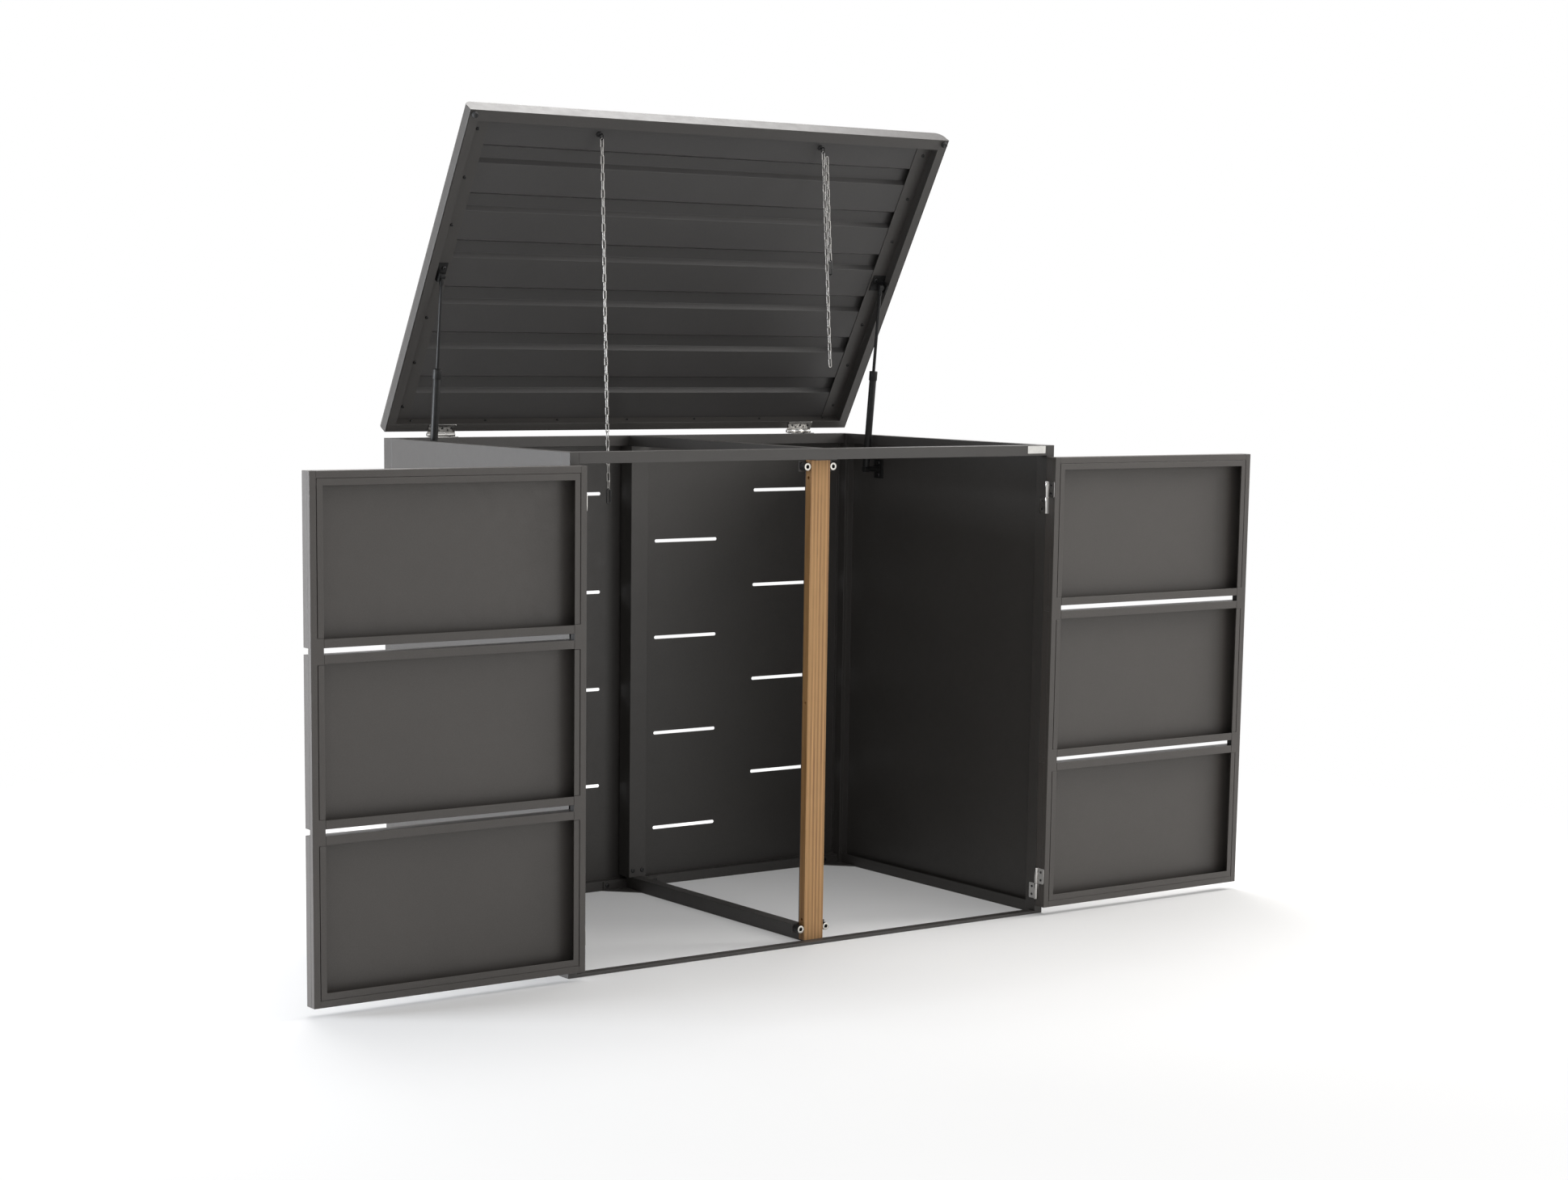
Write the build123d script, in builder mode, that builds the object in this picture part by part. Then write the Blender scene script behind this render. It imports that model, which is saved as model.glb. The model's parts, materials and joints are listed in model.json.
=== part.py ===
"""Bin store for two wheeled bins: folded steel body, two doors, a strut-held lid and chains.

Millimetres. The origin is the middle of the body on the ground, the front faces -Y and +Z is up.
Everything is drawn as the photograph shows it: lid up and both doors swung right round.
"""

import math
import os

from build123d import *

os.makedirs("parts", exist_ok=True)

# Body
BODY_W = 1372.0
BODY_D = 834.0
BODY_H = 1150.0
X_OUT = BODY_W / 2
Y_FRONT = -BODY_D / 2
Y_BACK = BODY_D / 2

# Stock
SHEET = 1.5
WALL = 2.0
PLATE = 3.0

# Clearances
RUN = 0.08
GAP = 0.3
SEAM = 1.5
FINE_SEAM = 0.4

# Front frame
POST_W = 23.0
POST_D = 35.0
RAIL_H = 25.0
RAIL_D = 30.0
RAIL_TAB_W = 60.0
SILL_H = 7.0
SILL_D = 26.0
Z_RAIL = BODY_H - RAIL_H
X_JAMB = X_OUT - POST_W

# Back frame and floor rails
REAR_POST_W = 26.0
REAR_POST_D = 38.0
REAR_RAIL_D = 30.0
FLOOR_RAIL_H = 25.0
FLOOR_RAIL_D = 28.0
CENTRE_RAIL_W = 30.0
CENTRE_RAIL_H = 33.0
UPRIGHT_W = 50.0
UPRIGHT_D = 48.0
UPRIGHT_BACK = 11.0
X_REAR = X_OUT - REAR_POST_W
Y_FLOOR_RAIL = Y_BACK - FLOOR_RAIL_D

# Side sheets
SIDE_TOP_FOLD = 25.0
SIDE_FOOT_FOLD = 18.0
SIDE_FOOT_H = 28.0
SIDE_EDGE_FOLD = 18.0

# Back sheets
BACK_SET = 2.5
BACK_EDGE = 6.0
SLOT_L = 190.0
SLOT_H = 8.0
SLOT_END = 2.4
SLOT_PITCH = 246.0
SLOT_ROWS = 4
SLOT_APART = 306.0
Z_SLOTS = (FLOOR_RAIL_H + Z_RAIL) / 2 - SLOT_PITCH * (SLOT_ROWS - 0.5) / 2

# Floor gussets
GUSSET_LEG = 72.0
GUSSET_UP = 22.0
ANCHOR_R = 5.5
ANCHOR_IN_X = 24.0
ANCHOR_CORNER_X = 36.0
ANCHOR_IN_Y = 14.0

# Timber post and magnets
TIMBER_W = 54.0
TIMBER_D = 20.0
TIMBER_SET = 23.0
TIMBER_HOLE_R = 4.0
TIMBER_HOLE_DEEP = 14.0
TIMBER_HOLE_LOW = 48.0
TIMBER_HOLE_TOP = 40.0
MAGNET_R = 9.0
MAGNET_HOLE_R = 3.4
MAGNET_HOLE_DEEP = 6.0
MAGNET_IN = 14.0
MAGNET_CLEAR = 0.5
EAR_H = 24.0
EAR_EDGE = 1.0
Z_TIMBER = Z_RAIL - WALL
TIMBER_HOLES = (
    SILL_H + TIMBER_HOLE_LOW,
    (SILL_H + Z_TIMBER) / 2,
    Z_TIMBER - TIMBER_HOLE_TOP,
)
Y_TIMBER = Y_FRONT + TIMBER_SET
Y_BACKING = Y_TIMBER + TIMBER_D
X_MAGNET = TIMBER_W / 2 + MAGNET_CLEAR + MAGNET_R

# Doors, drawn open
DOOR_T = 32.5
DOOR_SEAT = 22.5
DOOR_MEET = 8.0
DOOR_Z0 = 20.0
DOOR_TOP_GAP = 3.0
DOOR_SLIT = 14.0
PANELS = 3
FRAME_W = 15.0
FRAME_D = 12.0
LIP_IN = 30.0
CROSS_LIP = 30.0
SLIT_LIP = 18.5
BRIDGE_UP = 20.0
SPACER_W = 6.0
LEAF = 2.0
PIN_OUT = 5.5
PIN_R = 3.0
KNUCKLE_R = 5.0
HINGE_LOW = 18.5
HINGE_DOWN = 136.0
HINGE_HALF = 39.0
PIN_SHORT = 4.0
KNUCKLE_CLEAR = 0.6
LEAF_REACH = 26.5
X_PIN = X_JAMB - LEAF
Y_PIN = Y_FRONT - PIN_OUT
DOOR_W = X_PIN - LEAF - DOOR_MEET / 2
DOOR_Z1 = Z_RAIL - DOOR_TOP_GAP
PANEL_H = (DOOR_Z1 - DOOR_Z0 - (PANELS - 1) * DOOR_SLIT) / PANELS
HINGE_Z = (DOOR_Z0 + HINGE_LOW, DOOR_Z1 - HINGE_DOWN)
MAGNET_Z = (DOOR_Z0 + MAGNET_IN, DOOR_Z1 - MAGNET_IN)
X_EDGE = X_PIN + LEAF
Y_INNER = 2 * Y_PIN - (Y_FRONT + DOOR_SEAT)

# Lid, drawn open
LID_OPEN = 60.5
LID_INSET = 2.0
LID_W = BODY_W - 2 * LID_INSET
LID_D = BODY_D
LID_H = 40.0
LID_ROUND = 20.0
LID_LIFT = 9.0
LID_PIN_UP = 6.0
LID_PIN_BACK = 1.5
LID_REAR = -7.0
LIP_FRONT = 27.0
LIP_REAR = 21.0
LIP_SIDE = 25.0
RIM_H = 24.5
FLANGE = 45.0
LINER = 1.2
RIB_FIRST = 116.0
RIB_LAST = 116.5
RIBS = 6
RIB_PITCH = (LID_D - RIB_FIRST - RIB_LAST) / (RIBS - 1)
RIB_W = 46.0
RIB_TOP_W = 30.0
RIB_H = 12.0
LID_Z0 = LID_LIFT - LID_PIN_UP
LID_Z1 = LID_Z0 + LID_H
LID_FRONT = LID_REAR - LID_D
LINER_Z = LID_Z0 + RIM_H
LIP_X = LID_W / 2 - LIP_SIDE
RIM_CLEAR = 1.0
RIM_X = LID_W / 2 - SHEET - RIM_CLEAR

# Lid hinges
BUTT_IN = 154.0
BUTT_X = X_OUT - BUTT_IN
BUTT_L = 75.0
BUTT_LEAF = 20.0
BUTT_MID = 25.0
TONGUE_LAP = 1.0
BUTT_SCREWS = 25.0

# Gas struts
STRUT_IN = 46.0
STRUT_FROM_BACK = 150.0
STRUT_DOWN = 88.0
STRUT_X = X_OUT - STRUT_IN
STRUT_Y = Y_BACK - STRUT_FROM_BACK
STRUT_Z = BODY_H - STRUT_DOWN
STRUT_ON_LID = 415.0
STRUT_OVER_LIP = 6.0
STRUT_R = 9.0
COLLAR_R = 10.5
COLLAR_L = 24.0
TUBE_L = 254.0
TUBE_FROM = 6.0
BORE_SPARE = 5.0
ROD_FROM = 200.0
ROD_R = 4.0
SLEEVE_L = 20.0
SLEEVE_R = 5.5
SOCKET_R = 8.0
SOCKET_W = 14.0
STUD_R = 4.0
STUD_PAST = 6.0
BOSS_R = 7.0
BOSS_CLEAR = 3.0
BRACKET_W = 36.0
BRACKET_H = 48.0
BRACKET_SCREW = 16.0
EAR_W = 24.0
EAR_DOWN = 5.0
FOOT_IN = 19.0
FOOT_FRONT = 25.0
FOOT_REAR = 17.0
FOOT_SCREW_IN = 10.0
FOOT_SCREW_FRONT = 12.0

# Chains
EYE_X = 318.0
EYE_FROM_FRONT = 52.0
EYE_ON_LID = LID_D - EYE_FROM_FRONT
EYE_BASE_R = 7.0
EYE_BASE_T = 3.0
EYE_NECK = 6.0
EYE_R = 8.0
EYE_HOLE_R = 5.0
EYE_T = 2.6
EYE_DROP = 13.5
LINK_L = 25.5
LINK_W = 10.0
WIRE = 3.0
LINK_SLACK = 0.3
LINK_STEP = LINK_L - 2 * WIRE - LINK_SLACK
STRAND_APART = 11.0
HOOK_L = 40.0
HOOK_W = 14.0
HOOK_T = 4.0
HOOK_FLAT = 3.5
EYE_PLAY = 1.0
LEFT_LINKS = 42
LEFT_LEAN = math.atan(23 / 808)
RIGHT_LINKS = 27
RIGHT_SHORT_LINKS = 13
RIGHT_LEAN = math.atan(33 / 530)

# Buffers
BUFFER_R = 7.5
BUFFER_IN = 11.0
BUFFER_X = X_JAMB + 8.0

# Screws
HEAD_R = 5.5
HEAD_T = 2.6
LID_HEAD_R = 4.0
SMALL_R = 3.2
FLUSH_R = 3.2
FLUSH_T = 0.6
GUSSET_SCREW_IN = 14.0
CORNER_SCREW_IN = 44.0
UPRIGHT_SCREW_X = 14.0
UPRIGHT_SCREW_UP = 17.0
FLANGE_SCREW_IN = 20.0
RIM_SCREWS = 7
RIM_SCREW_IN = 72.0
RIM_SCREW_UP = 14.0

# Sides of the small round pieces that repeat
HEAD_SIDES = 6
ROUND_SIDES = 12

SIDES = ((-1, "left"), (1, "right"))

# Lid frame: local origin on the hinge pin, +Y to the back and +Z up when the lid is shut.
LID_TILT = math.radians(LID_OPEN)
LID = Plane(
    origin=(0, Y_BACK + LID_PIN_BACK, BODY_H + LID_PIN_UP),
    x_dir=(1, 0, 0),
    z_dir=(0, math.sin(LID_TILT), math.cos(LID_TILT)),
)


def slab(x0, x1, y0, y1, z0, z1, mode=Mode.ADD):
    """Adds or cuts a block between two opposite corners in the open builder."""
    with Locations(((x0 + x1) / 2, (y0 + y1) / 2, (z0 + z1) / 2)):
        Box(abs(x1 - x0), abs(y1 - y0), abs(z1 - z0), mode=mode)


def rod(centre, direction, radius, length, mode=Mode.ADD, sides=0):
    """Adds or cuts a bar from a point along a direction: round, or with a few flat sides."""
    with BuildSketch(Plane(origin=centre, z_dir=direction), mode=Mode.PRIVATE) as disc:
        if sides:
            RegularPolygon(radius, sides)
        else:
            Circle(radius)
    extrude(disc.sketch, amount=length, mode=mode)


def cut_bore(centre, direction, radius, length):
    """Cuts a bore with a few flat sides: the flats keep the given radius clear."""
    reach = radius / math.cos(math.pi / ROUND_SIDES)
    rod(centre, direction, reach, length, Mode.SUBTRACT, ROUND_SIDES)


def ring_bar(centre, direction, radius, hole, length):
    """Adds a short many-sided bar with a hole through it."""
    with BuildSketch(Plane(origin=centre, z_dir=direction), mode=Mode.PRIVATE) as ring:
        RegularPolygon(radius, ROUND_SIDES)
        RegularPolygon(hole, ROUND_SIDES, mode=Mode.SUBTRACT)
    extrude(ring.sketch, amount=length)


def on_lid(x, y, z):
    """A point of the lid in its open place, from its place in the lid's own frame."""
    return LID.from_local_coords((x, y, z))


def tube(x0, x1, y0, y1, z0, z1, along):
    """A folded box section: a block with a second block cut through it along one axis."""
    slab(x0, x1, y0, y1, z0, z1)
    inset = [0.0 if axis == along else WALL for axis in "xyz"]
    slab(
        min(x0, x1) + inset[0],
        max(x0, x1) - inset[0],
        min(y0, y1) + inset[1],
        max(y0, y1) - inset[1],
        min(z0, z1) + inset[2],
        max(z0, z1) - inset[2],
        Mode.SUBTRACT,
    )


def save(piece, name):
    """Labels a finished piece and writes it as its own node."""
    piece.part.label = name
    export_step(piece.part, f"parts/{name}.step")


# Body frame: four posts, the rails between them and the threshold.
for side, hand in SIDES:
    with BuildPart() as front_post:
        slab(side * X_JAMB, side * X_OUT, Y_FRONT, Y_FRONT + POST_D, 0, BODY_H)
        slab(
            side * (X_JAMB + WALL),
            side * (X_OUT - WALL),
            Y_FRONT + WALL,
            Y_FRONT + POST_D - WALL,
            0,
            BODY_H - WALL,
            Mode.SUBTRACT,
        )
    save(front_post, f"front_post_{hand}")

    with BuildPart() as rear_post:
        slab(side * X_REAR, side * X_OUT, Y_BACK - REAR_POST_D, Y_BACK, 0, BODY_H)
        slab(
            side * (X_REAR + WALL),
            side * (X_OUT - WALL),
            Y_BACK - REAR_POST_D + WALL,
            Y_BACK - WALL,
            0,
            BODY_H - WALL,
            Mode.SUBTRACT,
        )
    save(rear_post, f"rear_post_{hand}")

    # Side sheet with its front, back, top and bottom edges folded inwards.
    with BuildPart() as side_panel:
        y0 = Y_FRONT + POST_D
        y1 = Y_BACK - REAR_POST_D
        x_top = X_OUT - SIDE_TOP_FOLD
        x_foot = X_OUT - SIDE_FOOT_FOLD
        slab(side * (X_OUT - SHEET), side * X_OUT, y0, y1, 0, BODY_H)
        slab(side * x_top, side * X_OUT, y0, y1, BODY_H - SHEET, BODY_H)
        slab(side * x_top, side * (x_top + SHEET), y0, y1, BODY_H - SIDE_TOP_FOLD, BODY_H)
        slab(side * x_foot, side * X_OUT, y0, y1, 0, SHEET)
        slab(side * x_foot, side * (x_foot + SHEET), y0, y1, 0, SIDE_FOOT_H)
        slab(side * (X_OUT - SIDE_EDGE_FOLD), side * X_OUT, y0, y0 + SHEET, 0, BODY_H)
        slab(side * (X_OUT - SIDE_EDGE_FOLD), side * X_OUT, y1 - SHEET, y1, 0, BODY_H)
    save(side_panel, f"side_panel_{hand}")

with BuildPart() as front_top_rail:
    tube(-X_JAMB, X_JAMB, Y_FRONT, Y_FRONT + RAIL_D, Z_RAIL, BODY_H, "x")
    slab(
        -RAIL_TAB_W / 2,
        RAIL_TAB_W / 2,
        Y_FRONT + WALL,
        Y_BACKING + PLATE,
        Z_RAIL - WALL,
        Z_RAIL,
    )
save(front_top_rail, "front_top_rail")

with BuildPart() as front_sill:
    slab(-X_JAMB, X_JAMB, Y_FRONT, Y_FRONT + SILL_D, 0, SILL_H)
    slab(
        -X_JAMB,
        X_JAMB,
        Y_FRONT + SHEET,
        Y_FRONT + SILL_D - SHEET,
        0,
        SILL_H - SHEET,
        Mode.SUBTRACT,
    )
save(front_sill, "front_sill")

with BuildPart() as rear_top_rail:
    tube(-X_REAR, X_REAR, Y_BACK - REAR_RAIL_D, Y_BACK, Z_RAIL, BODY_H, "x")
save(rear_top_rail, "rear_top_rail")

with BuildPart() as rear_bottom_rail:
    tube(-X_REAR, X_REAR, Y_FLOOR_RAIL, Y_BACK, 0, FLOOR_RAIL_H, "x")
save(rear_bottom_rail, "rear_bottom_rail")

with BuildPart() as centre_bottom_rail:
    tube(
        -CENTRE_RAIL_W / 2,
        CENTRE_RAIL_W / 2,
        Y_BACKING + PLATE,
        Y_FLOOR_RAIL,
        0,
        CENTRE_RAIL_H,
        "y",
    )
save(centre_bottom_rail, "centre_bottom_rail")

with BuildPart() as centre_top_rail:
    tube(
        -CENTRE_RAIL_W / 2,
        CENTRE_RAIL_W / 2,
        Y_FRONT + RAIL_D,
        Y_BACK - REAR_RAIL_D,
        Z_RAIL,
        BODY_H,
        "y",
    )
save(centre_top_rail, "centre_top_rail")

with BuildPart() as rear_upright:
    tube(
        -UPRIGHT_W / 2,
        UPRIGHT_W / 2,
        Y_BACK - UPRIGHT_BACK - UPRIGHT_D,
        Y_BACK - UPRIGHT_BACK,
        CENTRE_RAIL_H,
        Z_RAIL,
        "z",
    )
save(rear_upright, "rear_upright")

# Back sheets: two identical trays, slots in two staggered columns.
for side, hand in SIDES:
    x_low = 0.5 if side > 0 else -X_REAR
    x_high = X_REAR if side > 0 else -0.5
    y0 = Y_BACK - BACK_SET - SHEET - BACK_EDGE
    y1 = Y_BACK - BACK_SET
    with BuildPart() as back_panel:
        slab(x_low, x_high, y0, y1, FLOOR_RAIL_H, Z_RAIL)
        slab(
            x_low + SHEET,
            x_high - SHEET,
            y0,
            y1 - SHEET,
            FLOOR_RAIL_H + SHEET,
            Z_RAIL - SHEET,
            Mode.SUBTRACT,
        )
        with BuildSketch(Plane.XZ.offset(-y1)) as slots:
            for column in (0, 1):
                x_mid = side * X_REAR / 2 + (column - 0.5) * SLOT_APART
                for row in range(SLOT_ROWS):
                    with Locations((x_mid, Z_SLOTS + SLOT_PITCH * (row + column / 2))):
                        Rectangle(SLOT_L, SLOT_H)
            chamfer(slots.vertices(), SLOT_END)
        extrude(amount=SHEET, mode=Mode.SUBTRACT)
    save(back_panel, f"back_panel_{hand}")

# Floor gussets: a triangle with an anchor hole and two upstands, two by the centre rail, two in the corners.
with BuildPart() as floor_gussets:
    for side, hand in SIDES:
        x_mid = CENTRE_RAIL_W / 2
        x_foot = X_OUT - SIDE_FOOT_FOLD
        y_post = Y_BACK - REAR_POST_D
        with BuildSketch() as plates:
            with BuildLine():
                Polyline(
                    (side * x_mid, Y_FLOOR_RAIL),
                    (side * (x_mid + GUSSET_LEG), Y_FLOOR_RAIL),
                    (side * x_mid, Y_FLOOR_RAIL - GUSSET_LEG),
                    close=True,
                )
            make_face()
            with BuildLine():
                Polyline(
                    (side * X_REAR, Y_FLOOR_RAIL),
                    (side * (x_foot - GUSSET_LEG + PLATE), Y_FLOOR_RAIL),
                    (side * x_foot, Y_FLOOR_RAIL - GUSSET_LEG + PLATE),
                    (side * x_foot, y_post),
                    (side * X_REAR, y_post),
                    close=True,
                )
            make_face()
            with Locations(
                (side * (x_mid + ANCHOR_IN_X), Y_FLOOR_RAIL - ANCHOR_IN_Y),
                (side * (x_foot - ANCHOR_CORNER_X), Y_FLOOR_RAIL - ANCHOR_IN_Y),
            ):
                Circle(ANCHOR_R, mode=Mode.SUBTRACT)
        extrude(amount=PLATE)
        slab(
            side * x_mid,
            side * (x_mid + GUSSET_LEG - PLATE),
            Y_FLOOR_RAIL - PLATE,
            Y_FLOOR_RAIL,
            0,
            GUSSET_UP,
        )
        slab(
            side * (x_foot - GUSSET_LEG + 2 * PLATE),
            side * X_REAR,
            Y_FLOOR_RAIL - PLATE,
            Y_FLOOR_RAIL,
            0,
            GUSSET_UP,
        )
save(floor_gussets, "floor_gussets")

# Timber post with plugged fixing holes in both flanks, and the steel bar behind it.
with BuildPart() as centre_post:
    slab(-TIMBER_W / 2, TIMBER_W / 2, Y_TIMBER, Y_BACKING, SILL_H, Z_TIMBER)
    for side, hand in SIDES:
        for z_hole in TIMBER_HOLES:
            rod(
                (side * TIMBER_W / 2, Y_TIMBER + TIMBER_D / 2, z_hole),
                (-side, 0, 0),
                TIMBER_HOLE_R,
                TIMBER_HOLE_DEEP,
                Mode.SUBTRACT,
                HEAD_SIDES,
            )
save(centre_post, "centre_post")

with BuildPart() as post_backing:
    slab(-TIMBER_W / 2, TIMBER_W / 2, Y_BACKING, Y_BACKING + PLATE, SILL_H, Z_TIMBER)
    for side, hand in SIDES:
        for z_mid in MAGNET_Z:
            slab(
                0,
                side * (X_MAGNET + MAGNET_R + EAR_EDGE),
                Y_BACKING,
                Y_BACKING + PLATE,
                z_mid - EAR_H / 2,
                z_mid + EAR_H / 2,
            )
save(post_backing, "post_backing")

with BuildPart() as magnets:
    y_face = Y_FRONT + DOOR_SEAT + GAP
    for side, hand in SIDES:
        for z_mid in MAGNET_Z:
            face = (side * X_MAGNET, y_face, z_mid)
            rod(face, (0, 1, 0), MAGNET_R, Y_BACKING - y_face, sides=ROUND_SIDES)
            rod(face, (0, 1, 0), MAGNET_HOLE_R, MAGNET_HOLE_DEEP, Mode.SUBTRACT, HEAD_SIDES)
save(magnets, "magnets")

# Lift-off door hinges: jamb halves carry the pins, door halves drop over them.
with BuildPart() as door_hinge_jamb_leaves:
    for side, hand in SIDES:
        for z0 in HINGE_Z:
            z1 = z0 + HINGE_HALF - GAP
            slab(side * X_PIN, side * X_JAMB, Y_PIN, Y_PIN + LEAF_REACH, z0, z1)
            foot = (side * X_PIN, Y_PIN, z0)
            rod(foot, (0, 0, 1), KNUCKLE_R, HINGE_HALF - GAP, sides=ROUND_SIDES)
            rod(foot, (0, 0, 1), PIN_R, 2 * HINGE_HALF - PIN_SHORT)
save(door_hinge_jamb_leaves, "door_hinge_jamb_leaves")


def door(side, hand):
    """One door in its open place, hinge edge towards the post, inner face to the front.

    Across the door a runs from the hinge edge and b from the inner face towards the outer face.
    """

    def bar(a0, a1, b0, b1, z0, z1, mode=Mode.ADD):
        slab(
            side * (X_EDGE + a0),
            side * (X_EDGE + a1),
            Y_INNER + b0,
            Y_INNER + b1,
            z0,
            z1,
            mode,
        )

    slit_low = [DOOR_Z0 + (k + 1) * PANEL_H + k * DOOR_SLIT for k in range(PANELS - 1)]

    # Stiles: an angle down each long edge, widened to a bridge across each gap. The hinge stile
    # also closes the end of each gap.
    for end, name in ((0, "hinge"), (1, "free")):
        with BuildPart() as stile:

            def flip(a):
                return DOOR_W - a if end else a

            bar(flip(0), flip(FRAME_W), 0, SHEET, DOOR_Z0, DOOR_Z1)
            bar(flip(0), flip(SHEET), 0, FRAME_D, DOOR_Z0, DOOR_Z1)
            for z0 in slit_low:
                bar(
                    flip(0),
                    flip(LIP_IN),
                    0,
                    SHEET,
                    z0 - BRIDGE_UP,
                    z0 + DOOR_SLIT + BRIDGE_UP,
                )
                if name == "hinge":
                    bar(0, SHEET, 0, DOOR_T, z0 + FINE_SEAM, z0 + DOOR_SLIT - FINE_SEAM)
        save(stile, f"door_{hand}_stile_{name}")

    # Top and bottom rails: the same angle, between the stiles.
    with BuildPart() as cross_rails:
        for z0, z1 in ((DOOR_Z0, DOOR_Z0 + FRAME_W), (DOOR_Z1, DOOR_Z1 - FRAME_W)):
            step = SHEET if z1 > z0 else -SHEET
            bar(FRAME_W, DOOR_W - FRAME_W, 0, SHEET, z0, z1)
            bar(FRAME_W, DOOR_W - FRAME_W, 0, FRAME_D, z0, z0 + step)
    save(cross_rails, f"door_{hand}_cross_rails")

    # Cassettes: an outer sheet with four walls, and lips that step up level with the frame.
    deep = FRAME_D + GAP
    lip_out = FRAME_W + SEAM
    for k, name in enumerate(("bottom", "middle", "top")):
        z0 = DOOR_Z0 + k * (PANEL_H + DOOR_SLIT)
        z1 = z0 + PANEL_H
        end_low = k == 0
        end_high = k == PANELS - 1
        side_z0 = z0 + (CROSS_LIP if end_low else BRIDGE_UP + FINE_SEAM)
        side_z1 = z1 - (CROSS_LIP if end_high else BRIDGE_UP + FINE_SEAM)
        with BuildPart() as panel:
            bar(0, DOOR_W, deep, DOOR_T, z0, z1)
            bar(SHEET, DOOR_W - SHEET, deep, DOOR_T - SHEET, z0 + SHEET, z1 - SHEET, Mode.SUBTRACT)
            for end in (0, 1):

                def flip(a):
                    return DOOR_W - a if end else a

                bar(flip(0), flip(lip_out + SHEET), deep, deep + SHEET, z0, z1)
                bar(flip(lip_out), flip(lip_out + SHEET), 0, deep + SHEET, side_z0, side_z1)
                bar(flip(lip_out), flip(LIP_IN), 0, SHEET, side_z0, side_z1)
            for at_end, base, up in ((end_low, z0, 1), (end_high, z1, -1)):
                if at_end:
                    web = base + up * (FRAME_W + FINE_SEAM)
                    bar(0, DOOR_W, deep, deep + SHEET, base, web + up * SHEET)
                    bar(lip_out, DOOR_W - lip_out, 0, deep + SHEET, web, web + up * SHEET)
                    bar(lip_out, DOOR_W - lip_out, 0, SHEET, web, base + up * CROSS_LIP)
                else:
                    a0 = LIP_IN + FINE_SEAM
                    bar(a0, DOOR_W - a0, 0, DOOR_T, base, base + up * SHEET)
                    bar(a0, DOOR_W - a0, 0, SHEET, base, base + up * SLIT_LIP)
            # Relief for the hinge knuckles in the hinge edge.
            for z_hinge in HINGE_Z:
                bar(
                    0,
                    KNUCKLE_R - LEAF + KNUCKLE_CLEAR,
                    Y_PIN - Y_INNER - KNUCKLE_R - KNUCKLE_CLEAR,
                    DOOR_T,
                    z_hinge - KNUCKLE_CLEAR,
                    z_hinge + 2 * HINGE_HALF + KNUCKLE_CLEAR,
                    Mode.SUBTRACT,
                )
        save(panel, f"door_{hand}_panel_{name}")

    with BuildPart() as spacers:
        for z0 in slit_low:
            for a_end in (LIP_IN, DOOR_W - LIP_IN + SPACER_W):
                bar(
                    a_end - SPACER_W,
                    a_end,
                    SHEET,
                    DOOR_T / 2,
                    z0,
                    z0 + DOOR_SLIT,
                )
    save(spacers, f"door_{hand}_spacers")

    with BuildPart() as leaves:
        for z_hinge in HINGE_Z:
            z0 = z_hinge + HINGE_HALF
            slab(side * X_PIN, side * X_EDGE, Y_PIN - LEAF_REACH, Y_PIN, z0, z0 + HINGE_HALF)
            foot = (side * X_PIN, Y_PIN, z0)
            rod(foot, (0, 0, 1), KNUCKLE_R, HINGE_HALF, sides=ROUND_SIDES)
            cut_bore(foot, (0, 0, 1), PIN_R + RUN, HINGE_HALF)
    save(leaves, f"door_{hand}_hinge_leaves")

    with BuildPart() as screws:
        for z_hinge in HINGE_Z:
            for up in (0.25, 0.75):
                z_screw = z_hinge + HINGE_HALF * (1 + up)
                rod(
                    (side * X_PIN, Y_PIN - LEAF_REACH * 0.6, z_screw),
                    (-side, 0, 0),
                    FLUSH_R,
                    FLUSH_T,
                    sides=HEAD_SIDES,
                )
    save(screws, f"door_{hand}_screws")


for side, hand in SIDES:
    door(side, hand)

def lid_section(y):
    """Upright section plane of the lid at a distance behind the hinge pin."""
    return Plane(origin=LID.from_local_coords((0, y, 0)), x_dir=(1, 0, 0), z_dir=-LID.y_dir)


def lid_outline(y, inset, below=0.0):
    """The lid's end shape on a section: upright sides, then a round over to the flat top."""
    x = LID_W / 2 - inset
    z = LID_Z1 - inset
    r = LID_ROUND - inset
    foot = LID_Z0 - below
    with BuildSketch(lid_section(y), mode=Mode.PRIVATE) as outline:
        with BuildLine():
            Polyline((x - r, z), (r - x, z))
            RadiusArc((r - x, z), (-x, z - r), -r)
            Polyline((-x, z - r), (-x, foot), (x, foot), (x, z - r))
            RadiusArc((x, z - r), (x - r, z), -r)
        make_face()
    return outline.sketch


with BuildPart() as lid_skin:
    extrude(lid_outline(LID_REAR - SHEET, 0), amount=LID_D - 2 * SHEET)
    extrude(
        lid_outline(LID_REAR - SHEET, SHEET, below=1),
        amount=LID_D - 2 * SHEET,
        mode=Mode.SUBTRACT,
    )
save(lid_skin, "lid_skin")

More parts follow.
